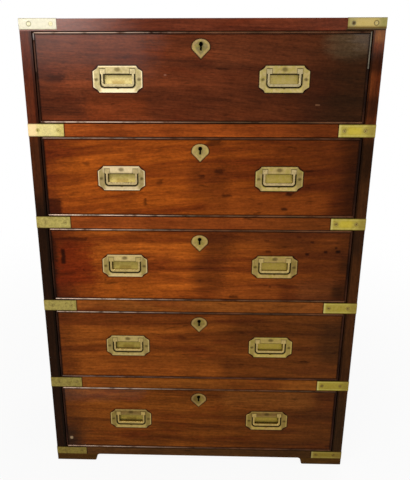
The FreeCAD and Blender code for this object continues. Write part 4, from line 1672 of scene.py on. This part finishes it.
# ---------------------------------------------------------------- the room
@dataclass(frozen=True)
class Lamp:
    """A soft lamp: its place, the point it faces, its width and height in metres and its power in watts."""

    name: str
    place: tuple[float, float, float]
    target: tuple[float, float, float]
    size: Pair
    power: float

    def light(self) -> None:
        """Hangs the lamp."""
        data = bpy.data.lights.new(self.name, "AREA")
        data.shape = "RECTANGLE"
        data.size, data.size_y = self.size
        data.energy = self.power
        lamp = bpy.data.objects.new(self.name, data)
        lamp.location = self.place
        lamp.rotation_mode = "QUATERNION"
        aim = Vector(self.target) - Vector(self.place)
        lamp.rotation_quaternion = aim.to_track_quat("-Z", "Y")
        lamp.visible_camera = False
        bpy.context.scene.collection.objects.link(lamp)


@dataclass(frozen=True)
class Room:
    """A pale floor under a white sky, with soft lamps.

    Attributes:
        reach: half the floor's side.
        sink: how far the floor lies under the feet.
        paper: the floor's colour where it lights the chest.
        sky: the light of the sky on the chest, where one is white.
        near: the share of plain white that the eye sees in the floor by the chest.
        far: where that share begins to grow, and where it is whole.
        lamps: a wide key lamp at the upper left, a weak fill at the right, and one behind.
    """

    reach: float = 6.0
    sink: float = 0.0004
    paper: str = "dcdad7"
    sky: float = 0.32
    near: float = 0.92
    far: Pair = (0.5, 2.2)
    lamps: tuple[Lamp, ...] = (
        Lamp("key", (-1.15, -2.1, 1.7), (0.0, -0.23, 0.65), (1.8, 0.8), 42.0),
        Lamp("fill", (1.9, -1.9, 1.5), (0.0, -0.1, 0.6), (1.4, 1.4), 6.0),
        Lamp("back", (1.2, 2.4, 1.9), (0.0, 0.2, 0.6), (1.6, 1.6), 42.0),
    )

    def build(self) -> None:
        """Makes the floor, the sky and the lamps."""
        for lamp in self.lamps:
            lamp.light()
        self._floor()
        self._sky()

    def _floor(self) -> None:
        """A square of floor just under the feet, whiter away from the chest."""
        reach = self.reach
        corners = ((-reach, -reach), (reach, -reach), (reach, reach), (-reach, reach))
        mesh = bpy.data.meshes.new("floor")
        mesh.from_pydata([(*corner, -self.sink) for corner in corners], [], [(0, 1, 2, 3)])
        graph = Graph(bpy.data.materials.new("floor_paper"))
        x, y, _ = graph.place()
        paper = graph.node("ShaderNodeBsdfDiffuse", {}, {"Color": tint(self.paper)})
        white = graph.node("ShaderNodeEmission", {}, {"Color": WHITE, "Strength": 1.0})
        away = graph.rise(length(x, y), *self.far)
        share = graph.seen() * (self.near + away * (1 - self.near))
        mixed = graph.node("ShaderNodeMixShader", {}, {0: share, 1: paper.outputs[0], 2: white.outputs[0]})
        graph.node("ShaderNodeOutputMaterial", {}, {"Surface": mixed.outputs[0]})
        mesh.materials.append(graph.owner)
        floor = bpy.data.objects.new("floor", mesh)
        bpy.context.scene.collection.objects.link(floor)

    def _sky(self) -> None:
        """White where it is seen or mirrored, and a plain level of light elsewhere."""
        graph = Graph(bpy.data.worlds.new("sky"))
        range_of_light = {"Value": graph.seen(), "To Min": self.sky, "To Max": 1.0}
        level = graph.node("ShaderNodeMapRange", {}, range_of_light)
        glow = graph.node("ShaderNodeBackground", {}, {"Color": WHITE, "Strength": level.outputs["Result"]})
        graph.node("ShaderNodeOutputWorld", {}, {"Surface": glow.outputs[0]})
        bpy.context.scene.world = graph.owner


@dataclass(frozen=True)
class Viewpoint:
    """The eye, a little right of the middle and just under the top, looking down.

    Attributes:
        place: where it is, in metres.
        turn, drop, roll: how far it looks aside, down and askew, in degrees.
        lens, sensor: its focal length and its picture's width, in millimetres.
        shift: how far the picture is moved aside, as a share of its width.
    """

    place: tuple[float, float, float] = (0.0078, -1.4295, 1.0277)
    turn: float = -1.66
    drop: float = 18.17
    roll: float = 0.03
    lens: float = 40.5
    sensor: float = 36.0
    shift: float = 0.0352

    def build(self) -> None:
        """Makes the camera."""
        turn, drop, roll = (math.radians(angle) for angle in (self.turn, self.drop, self.roll))
        ahead = Vector((math.sin(turn) * math.cos(drop), math.cos(turn) * math.cos(drop), -math.sin(drop)))
        level = Vector((math.cos(turn), -math.sin(turn), 0.0))
        under = ahead.cross(level)
        right = math.cos(roll) * level + math.sin(roll) * under
        down = math.cos(roll) * under - math.sin(roll) * level
        data = bpy.data.cameras.new("eye")
        data.lens = self.lens
        data.sensor_width = self.sensor
        data.shift_x = self.shift
        camera = bpy.data.objects.new("eye", data)
        frame = Matrix((right, -down, -ahead)).transposed().to_4x4()
        camera.matrix_world = Matrix.Translation(self.place) @ frame
        bpy.context.scene.collection.objects.link(camera)
        bpy.context.scene.camera = camera


def main() -> None:
    """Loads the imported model, dresses it and sets the room."""
    logging.basicConfig(level=logging.INFO, format="%(message)s")
    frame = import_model()
    dresser = Dresser(frame["nodes"])
    Carcass().dress(dresser)
    Bindings().dress(dresser)
    for drawer in DRAWER_SET:
        drawer.dress(dresser)
    Room().build()
    Viewpoint().build()
    bpy.context.scene.view_settings.view_transform = "Standard"


if __name__ == "__main__":
    main()
